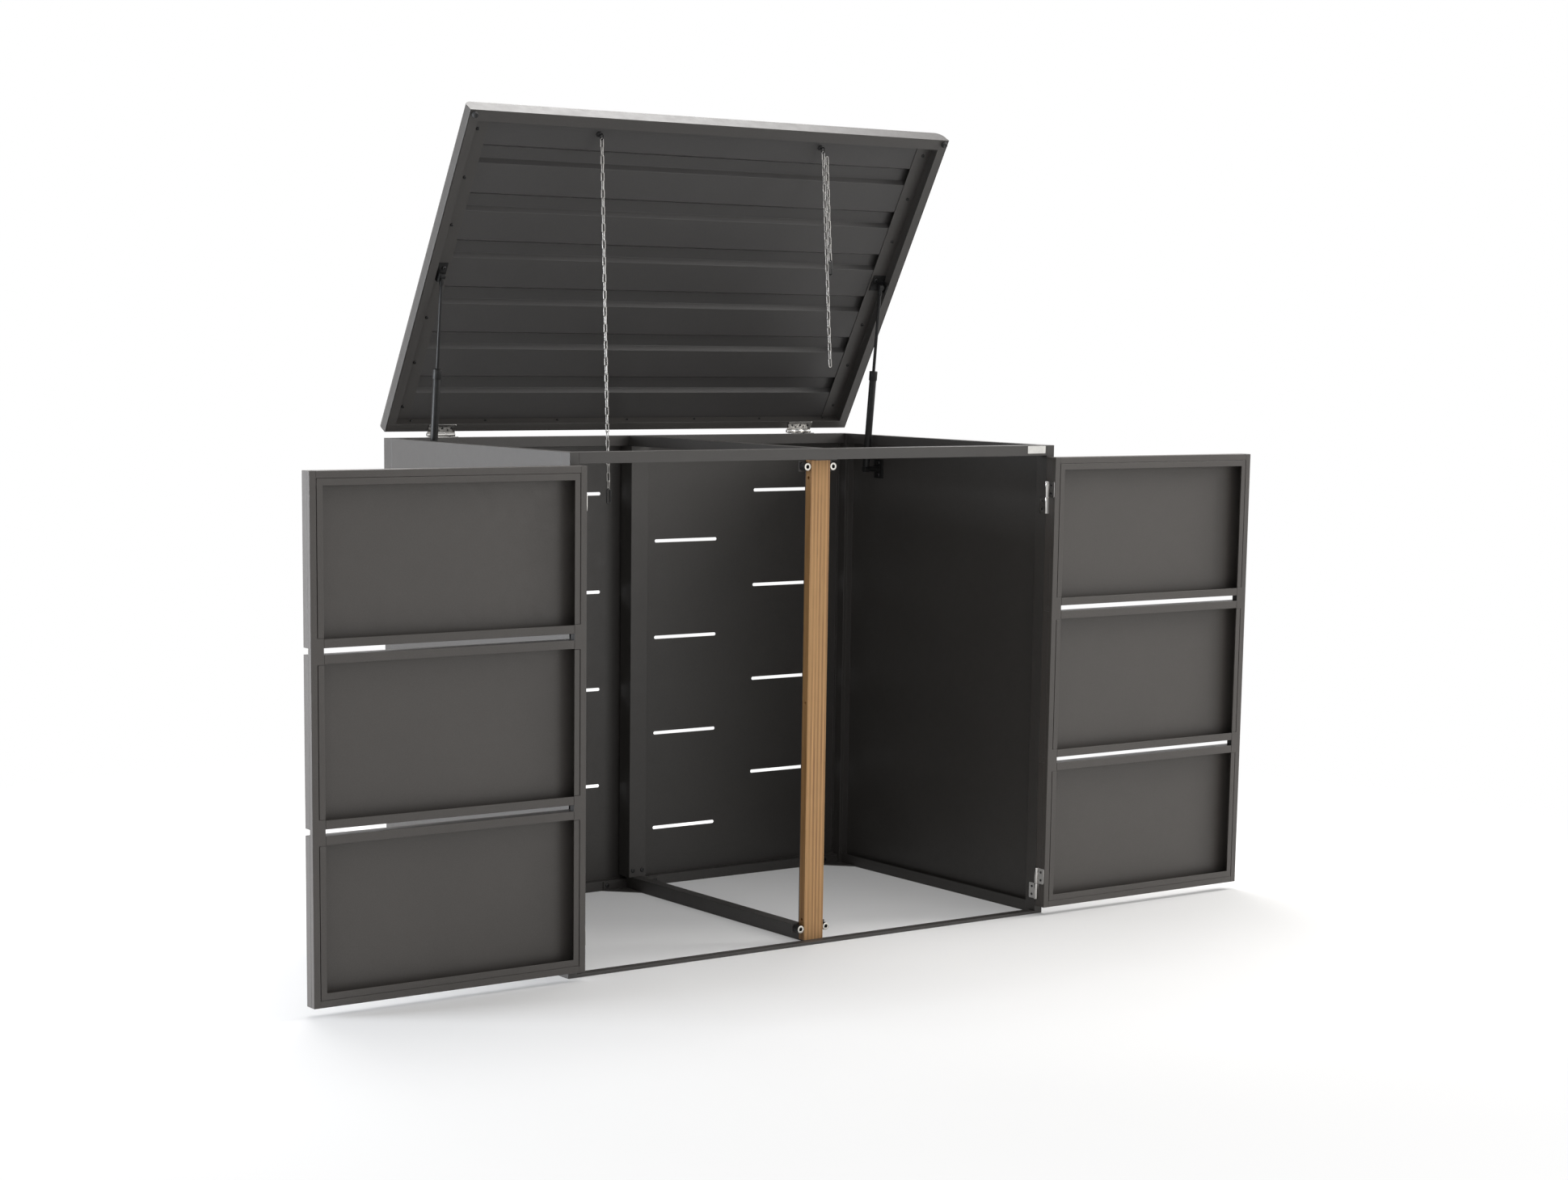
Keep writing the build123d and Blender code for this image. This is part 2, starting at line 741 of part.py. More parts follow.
# Ribbed liner: one folded strip with channels, drawn as a closed outline and pulled across the lid.
with BuildPart() as lid_liner:
    low = [(LID_REAR - SHEET, LINER_Z)]
    for k in range(RIBS):
        y_mid = LID_REAR - RIB_FIRST - k * RIB_PITCH
        low += [
            (y_mid + RIB_W / 2, LINER_Z),
            (y_mid + RIB_TOP_W / 2, LINER_Z + RIB_H),
            (y_mid - RIB_TOP_W / 2, LINER_Z + RIB_H),
            (y_mid - RIB_W / 2, LINER_Z),
        ]
    low.append((LID_FRONT + SHEET, LINER_Z))
    slope = (RIB_W - RIB_TOP_W) / 2
    lean = LINER * (math.hypot(slope, RIB_H) - slope) / RIB_H
    high = []
    for index, (y, z) in enumerate(low):
        turn = (index - 1) % 4 if 0 < index < len(low) - 1 else None
        grow = 0 if turn is None else (lean if turn < 2 else -lean)
        high.append((y + grow, z + LINER))
    across = Plane(
        origin=LID.from_local_coords((-LIP_X, 0, 0)),
        x_dir=LID.y_dir,
        z_dir=(1, 0, 0),
    )
    with BuildSketch(across):
        with BuildLine():
            Polyline(*low, *reversed(high), close=True)
        make_face()
    extrude(amount=2 * LIP_X)
save(lid_liner, "lid_liner")

for y_edge, y_lip, name in (
    (LID_REAR, LID_REAR - LIP_REAR, "rear"),
    (LID_FRONT, LID_FRONT + LIP_FRONT, "front"),
):
    with BuildPart(LID) as rim:
        start = LID_REAR if name == "rear" else LID_FRONT + SHEET
        extrude(lid_outline(start, 0), amount=SHEET)
        tube(-RIM_X, RIM_X, y_edge, y_lip, LID_Z0, LINER_Z, "x")
    save(rim, f"lid_rim_{name}")

for side, hand in SIDES:
    with BuildPart(LID) as lid_rim:
        y0 = LID_FRONT + LIP_FRONT
        y1 = LID_REAR - LIP_REAR
        tube(side * LIP_X, side * RIM_X, y0, y1, LID_Z0, LINER_Z, "y")
        slab(side * (LIP_X - FLANGE), side * LIP_X, y0, y1, LINER_Z - SHEET, LINER_Z)
    save(lid_rim, f"lid_rim_{hand}")

# Butt hinges of the lid: the body halves hold the pin and the middle knuckle, the lid halves the outer two.
with BuildPart() as lid_hinge_body_leaves:
    pin_y = Y_BACK + LID_PIN_BACK
    pin_z = BODY_H + LID_PIN_UP
    for side, hand in SIDES:
        x0 = side * BUTT_X - BUTT_L / 2
        x1 = side * BUTT_X + BUTT_L / 2
        a = side * BUTT_X - BUTT_MID / 2
        b = side * BUTT_X + BUTT_MID / 2
        slab(x0, x1, Y_BACK - BUTT_LEAF, pin_y - KNUCKLE_R - GAP, BODY_H, BODY_H + LEAF)
        slab(a, b, pin_y - KNUCKLE_R - TONGUE_LAP, pin_y, BODY_H, BODY_H + LEAF)
        rod((a, pin_y, pin_z), (1, 0, 0), KNUCKLE_R, BUTT_MID, sides=ROUND_SIDES)
        rod((x0, pin_y, pin_z), (1, 0, 0), PIN_R, BUTT_L)
save(lid_hinge_body_leaves, "lid_hinge_body_leaves")

with BuildPart(LID) as lid_hinge_leaves:
    for side, hand in SIDES:
        x0 = side * BUTT_X - BUTT_L / 2
        x1 = side * BUTT_X + BUTT_L / 2
        inner = BUTT_MID / 2 + GAP
        slab(x0, x1, LID_REAR - BUTT_LEAF, -KNUCKLE_R - GAP, LID_Z0 - LEAF, LID_Z0)
        for a, b in ((x0, side * BUTT_X - inner), (side * BUTT_X + inner, x1)):
            slab(a, b, -KNUCKLE_R - TONGUE_LAP, 0, LID_Z0 - LEAF, LID_Z0)
            end = on_lid(a, 0, 0)
            rod(end, (1, 0, 0), KNUCKLE_R, b - a, sides=ROUND_SIDES)
            cut_bore(end, (1, 0, 0), PIN_R + RUN, b - a)
save(lid_hinge_leaves, "lid_hinge_leaves")

# Gas struts: the body bracket's stud runs in the lower socket, the upper socket stops beside the lid's stud.
STRUT_TOP = LID.from_local_coords((0, LID_REAR - STRUT_ON_LID, LID_Z0 + STRUT_OVER_LIP))
STRUT_RUN = Vector(0, STRUT_TOP.Y - STRUT_Y, STRUT_TOP.Z - STRUT_Z)
STRUT_L = STRUT_RUN.length
STRUT_SHUT = math.hypot(
    Y_BACK + LID_PIN_BACK + LID_REAR - STRUT_ON_LID - STRUT_Y,
    BODY_H + LID_LIFT + STRUT_OVER_LIP - STRUT_Z,
)
STROKE = STRUT_L - STRUT_SHUT
BORE_FROM = ROD_FROM - STROKE - BORE_SPARE

with BuildPart() as strut_body_brackets:
    for side, hand in SIDES:
        x_wall = X_OUT - SHEET
        x_socket = STRUT_X + SOCKET_W / 2
        foot = (side * x_wall, STRUT_Y, STRUT_Z)
        slab(
            side * (x_wall - PLATE),
            side * x_wall,
            STRUT_Y - BRACKET_W / 2,
            STRUT_Y + BRACKET_W / 2,
            STRUT_Z - BRACKET_H / 2,
            STRUT_Z + BRACKET_H / 2,
        )
        rod(foot, (-side, 0, 0), BOSS_R, x_wall - x_socket - BOSS_CLEAR, sides=ROUND_SIDES)
        rod(foot, (-side, 0, 0), STUD_R, x_wall - STRUT_X + STUD_PAST, sides=ROUND_SIDES)
save(strut_body_brackets, "strut_body_brackets")

# Lid brackets: a foot plate on the flange, an upright ear, and the stud that faces the socket.
with BuildPart(LID) as lid_strut_brackets:
    for side, hand in SIDES:
        y_mid = LID_REAR - STRUT_ON_LID
        z_flange = LINER_Z - SHEET
        x_ear = STRUT_X + SOCKET_W / 2 + PLATE
        slab(
            side * (STRUT_X - FOOT_IN),
            side * (LIP_X - GAP),
            y_mid - FOOT_FRONT,
            y_mid + FOOT_REAR,
            z_flange - LEAF,
            z_flange,
        )
        slab(
            side * x_ear,
            side * (x_ear + PLATE),
            y_mid - EAR_W / 2,
            y_mid + EAR_W / 2,
            LID_Z0 - EAR_DOWN,
            z_flange,
        )
        root = on_lid(side * (x_ear + PLATE), y_mid, LID_Z0 + STRUT_OVER_LIP)
        rod(root, (-side, 0, 0), STUD_R, 2 * PLATE - GAP, sides=ROUND_SIDES)
save(lid_strut_brackets, "lid_strut_brackets")

for side, hand in SIDES:
    strut = Plane(origin=(side * STRUT_X, STRUT_Y, STRUT_Z), x_dir=(1, 0, 0), z_dir=STRUT_RUN)
    upright = (Align.CENTER, Align.CENTER, Align.MIN)
    with BuildPart(strut) as strut_cylinder:
        with Locations((0, 0, TUBE_FROM)):
            Cylinder(STRUT_R, TUBE_L - TUBE_FROM, align=upright)
        collar = strut.from_local_coords((0, 0, TUBE_L - COLLAR_L))
        rod(collar, STRUT_RUN, COLLAR_R, COLLAR_L, sides=ROUND_SIDES)
        socket = (side * (STRUT_X - SOCKET_W / 2), STRUT_Y, STRUT_Z)
        rod(socket, (side, 0, 0), SOCKET_R, SOCKET_W, sides=ROUND_SIDES)
        rod(socket, (side, 0, 0), STUD_R + RUN, SOCKET_W, Mode.SUBTRACT)
        bore = strut.from_local_coords((0, 0, BORE_FROM))
        cut_bore(bore, STRUT_RUN, ROD_R + RUN, TUBE_L - BORE_FROM)
    save(strut_cylinder, f"strut_{hand}_cylinder")

    with BuildPart(strut) as strut_rod:
        with Locations((0, 0, ROD_FROM)):
            Cylinder(ROD_R, STRUT_L - ROD_FROM, align=upright)
        sleeve = strut.from_local_coords((0, 0, STRUT_L - SLEEVE_L))
        rod(sleeve, STRUT_RUN, SLEEVE_R, SLEEVE_L, sides=ROUND_SIDES)
        socket = (side * (STRUT_X - SOCKET_W / 2), STRUT_TOP.Y, STRUT_TOP.Z)
        rod(socket, (side, 0, 0), SOCKET_R, SOCKET_W, sides=ROUND_SIDES)
    save(strut_rod, f"strut_{hand}_rod")

# Chains: flat-sided links, every second one turned a quarter, hung from a ring on the lid.
EYE = LID.from_local_coords((0, LID_REAR - EYE_ON_LID, LINER_Z - EYE_DROP))

with BuildPart(LID) as lid_eyes:
    for side, hand in SIDES:
        y_eye = LID_REAR - EYE_ON_LID
        z_ring = LINER_Z - EYE_DROP
        base = on_lid(side * EYE_X, y_eye, LINER_Z - EYE_BASE_T)
        rod(base, LID.z_dir, EYE_BASE_R, EYE_BASE_T, sides=HEAD_SIDES)
        slab(
            side * EYE_X - EYE_T / 2,
            side * EYE_X + EYE_T / 2,
            y_eye - EYE_NECK / 2,
            y_eye + EYE_NECK / 2,
            z_ring + (EYE_R + EYE_HOLE_R) / 2,
            LINER_Z - EYE_BASE_T / 2,
        )
        ring_bar(
            on_lid(side * EYE_X - EYE_T / 2, y_eye, z_ring),
            (1, 0, 0),
            EYE_R,
            EYE_HOLE_R,
            EYE_T,
        )
save(lid_eyes, "lid_eyes")


def loop(length, width, wire, thick):
    """A long flat-sided ring in the XZ plane, centred on the origin."""
    with BuildPart() as made:
        with BuildSketch(Plane.XZ) as outline:
            Rectangle(width, length)
            chamfer(outline.vertices(), wire)
            Rectangle(width - 2 * wire, length - 2 * wire, mode=Mode.SUBTRACT)
        extrude(amount=thick / 2, both=True)
    return made.part


LINK = loop(LINK_L, LINK_W, WIRE, WIRE)
HOOK = loop(HOOK_L, HOOK_W, HOOK_T, HOOK_FLAT)


def chain(side, hand, long_links, short_links, lean):
    """Links down a slightly leaning line, a second shorter strand beside it, and the snap hook."""
    hang = Plane(
        origin=(side * EYE_X, EYE.Y, EYE.Z),
        x_dir=(math.cos(lean), 0, math.sin(lean)),
        z_dir=(-math.sin(lean), 0, math.cos(lean)),
    )
    first = -EYE_HOLE_R + EYE_PLAY + WIRE - LINK_L / 2
    spots = [(0, first - k * LINK_STEP, 90 * (k % 2)) for k in range(long_links)]
    spots += [
        (STRAND_APART, first - LINK_L / 2 - k * LINK_STEP, 90 * (k % 2)) for k in range(short_links)
    ]
    if short_links:
        hook_x = STRAND_APART
        hook_top = spots[-1][1]
        hook_turn = short_links
    else:
        hook_x = 0
        hook_top = spots[-1][1]
        hook_turn = long_links
    hook_z = hook_top - LINK_L / 2 + WIRE + HOOK_T + LINK_SLACK - HOOK_L / 2
    with BuildPart(hang) as links:
        with Locations(*[Location((x, 0, z), (0, 0, turn)) for x, z, turn in spots]):
            add(LINK)
        with Locations(Location((hook_x, 0, hook_z), (0, 0, 90 * (hook_turn % 2)))):
            add(HOOK)
    save(links, f"chain_{hand}")


chain(-1, "left", LEFT_LINKS, 0, LEFT_LEAN)
chain(1, "right", RIGHT_LINKS, RIGHT_SHORT_LINKS, RIGHT_LEAN)

# Rubber buffers under the lid's front corners.
with BuildPart(LID) as lid_buffers:
    for side, hand in SIDES:
        top = on_lid(side * BUFFER_X, LID_FRONT + BUFFER_IN, LID_Z0)
        rod(top, -LID.z_dir, BUFFER_R, LID_LIFT - GAP, sides=ROUND_SIDES)
save(lid_buffers, "lid_buffers")


def screw(seat, direction, radius=HEAD_R, height=HEAD_T):
    """Adds one screw head that stands on its seat."""
    rod(seat, direction, radius, height, sides=HEAD_SIDES)


# Screw heads, one node for the body and one for the lid.
with BuildPart() as body_screws:
    for side, hand in SIDES:
        for z_hinge in HINGE_Z:
            for up in (0.25, 0.75):
                seat = (side * X_PIN, Y_PIN + LEAF_REACH * 0.6, z_hinge + HINGE_HALF * up)
                screw(seat, (-side, 0, 0), FLUSH_R, FLUSH_T)
        for k in (-1, 0, 1):
            seat = (side * BUTT_X + k * BUTT_SCREWS, Y_BACK - BUTT_LEAF * 0.6, BODY_H + LEAF)
            screw(seat, (0, 0, 1), FLUSH_R, FLUSH_T)
        for x_screw in (CENTRE_RAIL_W / 2 + GUSSET_LEG - GUSSET_SCREW_IN, X_REAR - CORNER_SCREW_IN):
            screw((side * x_screw, Y_FLOOR_RAIL - PLATE, GUSSET_UP * 0.6), (0, -1, 0))
        y_upright = Y_BACK - UPRIGHT_BACK - UPRIGHT_D
        screw((side * UPRIGHT_SCREW_X, y_upright, CENTRE_RAIL_H + UPRIGHT_SCREW_UP), (0, -1, 0))
        for z_step in (-BRACKET_SCREW, BRACKET_SCREW):
            screw((side * (X_OUT - SHEET - PLATE), STRUT_Y, STRUT_Z + z_step), (-side, 0, 0))
save(body_screws, "body_screws")

with BuildPart() as lid_screws:
    down = -LID.z_dir
    for side, hand in SIDES:
        for k in range(RIBS + 1):
            y_screw = LID_REAR - RIB_FIRST + RIB_PITCH / 2 - k * RIB_PITCH
            y_foot = LID_REAR - STRUT_ON_LID - FOOT_SCREW_FRONT
            if abs(y_screw - y_foot) < RIB_PITCH / 2:
                x_foot = side * (STRUT_X - FOOT_SCREW_IN)
                screw(on_lid(x_foot, y_foot, LINER_Z - SHEET - LEAF), down)
            else:
                x_screw = side * (LIP_X - FLANGE_SCREW_IN)
                screw(on_lid(x_screw, y_screw, LINER_Z - SHEET), down, LID_HEAD_R)
        for k in (-1, 0, 1):
            x_screw = side * BUTT_X + k * BUTT_SCREWS
            screw(on_lid(x_screw, LID_REAR - BUTT_LEAF / 2, LID_Z0 - LEAF), down, FLUSH_R, FLUSH_T)
    pitch = (LID_W - 2 * RIM_SCREW_IN) / (RIM_SCREWS - 1)
    for k in range(RIM_SCREWS):
        x_screw = (k - (RIM_SCREWS - 1) / 2) * pitch
        screw(on_lid(x_screw, LID_REAR - LIP_REAR, LID_Z0 + RIM_SCREW_UP), -LID.y_dir, SMALL_R)
save(lid_screws, "lid_screws")
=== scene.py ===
"""Bin store for two wheeled bins, dressed for a studio picture.

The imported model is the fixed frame. This file adds the finishes and the small hardware whose true
shape needs finer surfaces: chains, hinges, gas struts, magnets, eyes, buffers and screw heads.
Every size is in metres, in the model's own frame: front towards -Y, ground at Z = 0.
"""

import json
import math

import bpy
import numpy as np
from mathutils import Matrix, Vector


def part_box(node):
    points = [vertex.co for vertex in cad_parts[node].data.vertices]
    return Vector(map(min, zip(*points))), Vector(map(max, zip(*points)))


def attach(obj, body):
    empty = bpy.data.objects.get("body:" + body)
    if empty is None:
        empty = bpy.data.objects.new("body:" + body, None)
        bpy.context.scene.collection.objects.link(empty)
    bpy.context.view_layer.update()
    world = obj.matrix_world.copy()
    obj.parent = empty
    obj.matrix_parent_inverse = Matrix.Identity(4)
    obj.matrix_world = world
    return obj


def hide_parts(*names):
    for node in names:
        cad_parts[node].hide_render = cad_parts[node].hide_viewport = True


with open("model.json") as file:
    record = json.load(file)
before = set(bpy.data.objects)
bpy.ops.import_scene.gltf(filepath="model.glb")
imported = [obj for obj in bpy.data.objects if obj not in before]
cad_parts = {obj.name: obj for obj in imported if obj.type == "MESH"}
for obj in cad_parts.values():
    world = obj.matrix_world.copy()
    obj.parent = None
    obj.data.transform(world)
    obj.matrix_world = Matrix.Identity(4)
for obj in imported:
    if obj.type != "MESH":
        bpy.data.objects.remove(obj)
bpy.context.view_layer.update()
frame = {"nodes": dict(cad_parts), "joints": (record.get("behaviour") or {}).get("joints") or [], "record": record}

bl_info = {
    "name": "Bin store finishes",
    "version": (1, 0, 0),
    "blender": (4, 5, 0),
    "location": "3D View > Sidebar > Bin store",
    "description": "Finishes and fine hardware for a bin store with two doors and a strut-held lid",
    "category": "Object",
}

JOINTS = {joint["name"]: joint for joint in frame["joints"]}
SIDES = ((-1, "left"), (1, "right"))
MM = 0.001

ACROSS = np.array((1.0, 0.0, 0.0))
BACK = np.array((0.0, 1.0, 0.0))
UP = np.array((0.0, 0.0, 1.0))
LID_PIN = np.array(JOINTS["lid_hinge"]["pos_m"])
LID_OPEN = math.radians(JOINTS["lid_hinge"]["range_deg"][1])
LID_BACK = np.array((0.0, math.cos(LID_OPEN), -math.sin(LID_OPEN)))
LID_UP = np.array((0.0, math.sin(LID_OPEN), math.cos(LID_OPEN)))

# A point in front of and above the open store: every screw head shows its recess to this side.
OPEN_SIDE = np.array((0.0, -1.2, 1.6))

# Triangles of one head in a screw node, and the height under which a head is countersunk.
HEAD_TRIANGLES = 20
FLUSH_UNDER = 0.001

# Angle between faces above which a new piece keeps a crisp edge.
CRISP = math.radians(40)

# Length of one wave of the shader's wave pattern at scale 1.
WAVE = 2 * math.pi / 20

# Finish and material slot of both kinds of hinge.
HINGE_STEEL = ("brushed_stainless", "stainless")

# Each soft light: its place, the point that it faces, the side of its square and its tint.
LIGHTS = {
    "top": ((0.4, 0.6, 5.2), (0.0, 0.0, 0.0), 3.6, (1.0, 0.99, 0.98)),
    "back": ((0.9, 2.4, 4.6), (0.0, 0.1, 0.6), 4.0, (1.0, 0.99, 0.98)),
    "left": ((-4.6, 1.2, 0.95), (-0.6, 0.3, 0.85), 1.8, (0.90, 0.94, 1.0)),
    "right": ((4.6, -1.2, 3.2), (0.6, -0.4, 0.6), 2.6, (1.0, 0.98, 0.95)),
    "front": ((2.5, -5.0, 0.9), (0.3, -0.5, 0.7), 2.2, (1.0, 0.98, 0.95)),
}


def length(name, text, millimetres):
    """A length property whose default is given in millimetres."""
    return bpy.props.FloatProperty(
        name=name, description=text, default=millimetres * MM, min=0.0, unit="LENGTH", precision=5
    )


def share(name, text, value, high=1.0):
    """A plain number between nothing and a top value."""
    return bpy.props.FloatProperty(name=name, description=text, default=value, min=0.0, max=high)


def colour(name, text, value):
    """A colour, written as its red, green and blue shares of light."""
    return bpy.props.FloatVectorProperty(
        name=name, description=text, default=value, min=0.0, max=1.0, size=3, subtype="COLOR"
    )


def angle(name, text, degrees):
    """An angle property whose default is given in degrees."""
    return bpy.props.FloatProperty(
        name=name, description=text, default=math.radians(degrees), subtype="ANGLE"
    )


class CoatSettings(bpy.types.PropertyGroup):
    """Powder coat of the sheet metal."""

    shade: colour("Coat", "Warm dark grey of the powder coat", (0.050, 0.0465, 0.0435))
    # Painted light: the doors wear the body's powder coat, painted lighter and warmer here because more light
    # falls on them.
    door: colour("Door coat", "Lighter, warmer grey of the doors", (0.068, 0.0612, 0.0560))
    # Painted shade: the lid's liner wears the same powder coat, painted slightly darker and cooler where shade
    # falls under the open lid.
    liner: colour("Lid liner", "Slightly cooler grey inside the lid", (0.047, 0.0448, 0.0442))
    gloss: share("Roughness", "Roughness of the satin coat", 0.46)
    grain: length("Grain", "Width of the coat's fine orange-peel grain", 0.9)
    edge: length("Edge radius", "Radius of the folded edges", 0.7)


class MetalSettings(bpy.types.PropertyGroup):
    """Bare and plated metals and the black fittings."""

    stainless: colour("Stainless", "Brushed stainless of the hinges", (0.52, 0.51, 0.495))
    zinc: colour("Zinc", "Dulled zinc of the chains", (0.40, 0.39, 0.375))
    steel: colour("Dark steel", "Blackened steel of snap hooks and screw heads", (0.05, 0.05, 0.05))
    ring: colour("Magnet ring", "Pale plated face of the magnets", (0.60, 0.585, 0.54))
    black: colour("Black", "Satin black of struts and brackets", (0.014, 0.014, 0.014))
    plate: colour("Bare plate", "Pale bare plate on the front rail", (0.58, 0.572, 0.55))
    edge: length("Bracket edge", "Edge radius of the black brackets and blocks", 0.4)


class TimberSettings(bpy.types.PropertyGroup):
    """Oiled oak of the centre post."""

    early: colour("Light grain", "Golden summer wood", (0.53, 0.298, 0.118))
    late: colour("Dark grain", "Darker growth lines", (0.22, 0.105, 0.036))
    band: length("Growth lines", "Distance between growth lines", 10.367)
    edge: length("Edge radius", "Radius of the post's edges", 1.2)


class ChainSettings(bpy.types.PropertyGroup):
    """Links and snap hooks of the lid chains."""

    link_long: length("Link length", "Outside length of a link", 24.3)
    link_wide: length("Link width", "Outside width of a link", 9.4)
    wire: length("Wire", "Diameter of the link wire", 2.4)
    slack: length("Slack", "Play between two links", 0.3)
    drop: length("Drop", "Depth of the first link's inside top under the middle of its eye", 4.0)
    apart: length("Strands apart", "Distance between the two strands of a doubled chain", 11.0)
    hook_long: length("Hook length", "Outside length of the snap hook", 38.0)
    hook_wide: length("Hook width", "Outside width of the snap hook", 13.0)
    hook_wire: length("Hook wire", "Diameter of the hook wire", 3.0)
    collar: length("Collar", "Length of a collar on the hook's gate", 2.4)
    collar_edge: length("Collar edge", "Edge round of a collar on the hook's gate", 0.4)
    gate_edge: length("Gate edge", "Edge round of the hook's gate", 0.5)
    left_links: bpy.props.IntProperty(name="Left links", description="Links of the left chain", default=42)
    right_links: bpy.props.IntProperty(name="Right links", description="Links of the right chain", default=27)
    doubled_links: bpy.props.IntProperty(
        name="Doubled links", description="Links of the right chain's second strand", default=13
    )
    left_lean: angle("Left lean", "Lean of the left chain", math.degrees(math.atan(23 / 808)))
    right_lean: angle("Right lean", "Lean of the right chain", math.degrees(math.atan(33 / 530)))


class HingeSettings(bpy.types.PropertyGroup):
    """Lift-off door hinges and the lid's butt hinges."""

    leaf: length("Leaf", "Thickness of a hinge leaf", 2.0)
    knuckle: length("Knuckle radius", "Outside radius of a hinge knuckle", 5.0)
    pin: length("Pin radius", "Radius of a hinge pin", 3.0)
    lap: length("Lap", "How far a knuckle's tongue laps the leaf", 1.0)
    half: length("Hinge half", "Height of one half of a door hinge", 39.0)
    pin_short: length("Pin short", "How far the pin ends below the upper knuckle", 4.0)
    butt_long: length("Butt length", "Length of a lid hinge", 75.0)
    butt_mid: length("Middle knuckle", "Length of a lid hinge's middle knuckle", 25.0)
    play: length("Play", "Gap between two knuckles", 0.3)
    corner: length("Corner", "Corner radius of a hinge leaf", 3.0)
    lip: length("Lip", "Height of the lid's lip above the pin", 3.0)
    reach: length("Leaf reach", "How far the leaf on the lid reaches in front of the pin", 27.0)
    edge: length("Butt edge", "Edge round of the lid hinges' knuckles and pins", 0.5)
    door_edge: length("Door edge", "Edge round of the door hinges' knuckles", 0.6)


class StrutSettings(bpy.types.PropertyGroup):
    """Gas struts that hold the lid."""

    tube: length("Tube radius", "Radius of the cylinder", 9.0)
    collar: length("Collar radius", "Radius of the end collar", 10.5)
    collar_long: length("Collar length", "Length of the end collar", 24.0)
    tube_long: length("Tube length", "Cylinder length from its pivot", 254.0)
    rod: length("Rod radius", "Radius of the piston rod", 4.0)
    rod_from: length("Rod start", "Where the rod starts inside the cylinder", 200.0)
    socket: length("Socket radius", "Radius of an end socket", 8.0)
    socket_wide: length("Socket width", "Width of an end socket", 14.0)
    sleeve: length("Sleeve radius", "Radius of the sleeve on the rod's end", 5.5)
    sleeve_long: length("Sleeve length", "Length of the sleeve on the rod's end", 20.0)
    tube_from: length("Tube start", "Where the tube starts above the lower pivot", 6.0)
    lap: length("Lap", "How far the tube laps into the collar", 1.0)
    tube_edge: length("Tube edge", "Edge round of tube and collar", 1.2)
    socket_edge: length("Socket edge", "Edge round of an end socket", 1.0)
    rod_edge: length("Rod edge", "Edge round of the rod", 0.3)
    sleeve_edge: length("Sleeve edge", "Edge round of the sleeve", 0.8)


class SmallSettings(bpy.types.PropertyGroup):
    """Magnets, chain eyes, buffers and the bare plate."""

    magnet: length("Magnet radius", "Outside radius of a pot magnet", 9.0)
    eye_rise: length("Eye rise", "Height of an eye's foot above the middle of its ring", 13.5)
    eye_long: length("Eye height", "Outside height of an eye's ring", 16.0)
    eye_wide: length("Eye width", "Outside width of an eye's ring", 15.8)
    eye_wire: length("Eye wire", "Diameter of an eye's wire", 2.7)
    buffer: length("Buffer radius", "Radius of a buffer at its foot", 7.5)
    buffer_long: length("Buffer length", "Length of a buffer", 8.7)
    plate_from: length("Plate start", "Near end of the bare plate, from the store's middle", 602.0)
    plate_long: length("Plate length", "Length of the bare plate", 56.0)
    plate_tall: length("Plate height", "Height of the bare plate", 18.0)
    plate_below: length("Plate below", "How far the bare plate sits below the rail's top", 1.5)
    plate_thick: length("Plate thickness", "Thickness of the bare plate", 0.65)
    plate_gap: length("Plate gap", "Gap between the bare plate and the face of the rail", 0.05)
    plate_corner: length("Plate corner", "Corner radius of the bare plate", 1.5)
    plate_edge: length("Plate edge", "Edge break of the bare plate", 0.2)


class StageSettings(bpy.types.PropertyGroup):
    """Camera, floor and studio light."""

    place: bpy.props.FloatVectorProperty(
        name="Camera place",
        description="Where the camera stands",
        default=(-3.9236, -5.6444, 1.4034),
        size=3,
        subtype="TRANSLATION",
        unit="LENGTH",
    )
    turn: angle("Turn", "Camera direction round the upright axis", -36.12)
    lift: angle("Lift", "Camera height above level, seen from the store", 8.30)
    roll: angle("Roll", "Camera roll", 0.81)
    lens: bpy.props.FloatProperty(name="Lens", description="Focal length", default=65.65, unit="CAMERA")
    rise: bpy.props.FloatProperty(name="Rise", description="Upright shift of the picture", default=0.1036)
    fill: share("Fill", "Level of the even light all round", 0.36, 5.0)
    top: share("Top light", "Power of the wide light overhead, in watts", 125.0, 2000.0)
    back: share("Back light", "Power of the wide light high behind the store, in watts", 185.0, 2000.0)
    left: share("Left light", "Power of the cooler light from the left, in watts", 250.0, 2000.0)
    right: share("Right light", "Power of the warmer light high on the right, in watts", 195.0, 2000.0)
    front: share("Front light", "Power of the low light in front, in watts", 22.0, 2000.0)
    floor: colour("Floor", "Pale floor", (0.76, 0.76, 0.76))
    floor_reach: length("Floor reach", "Radius of the round floor", 14000.0)
    floor_thick: length("Floor thickness", "Thickness of the round floor", 20.0)
    white_from: length("White from", "Distance at which the floor starts to turn white", 1200.0)
    white_by: length("White by", "Distance at which the floor is all white", 3000.0)
    white_near: share("White near", "Share of white in the floor beside the store", 0.15)


class BinStoreSettings(bpy.types.PropertyGroup):
    """All settings of the bin store."""

    coat: bpy.props.PointerProperty(type=CoatSettings)
    metal: bpy.props.PointerProperty(type=MetalSettings)
    timber: bpy.props.PointerProperty(type=TimberSettings)
    chain: bpy.props.PointerProperty(type=ChainSettings)
    hinge: bpy.props.PointerProperty(type=HingeSettings)
    strut: bpy.props.PointerProperty(type=StrutSettings)
    small: bpy.props.PointerProperty(type=SmallSettings)
    stage: bpy.props.PointerProperty(type=StageSettings)


# Surfaces


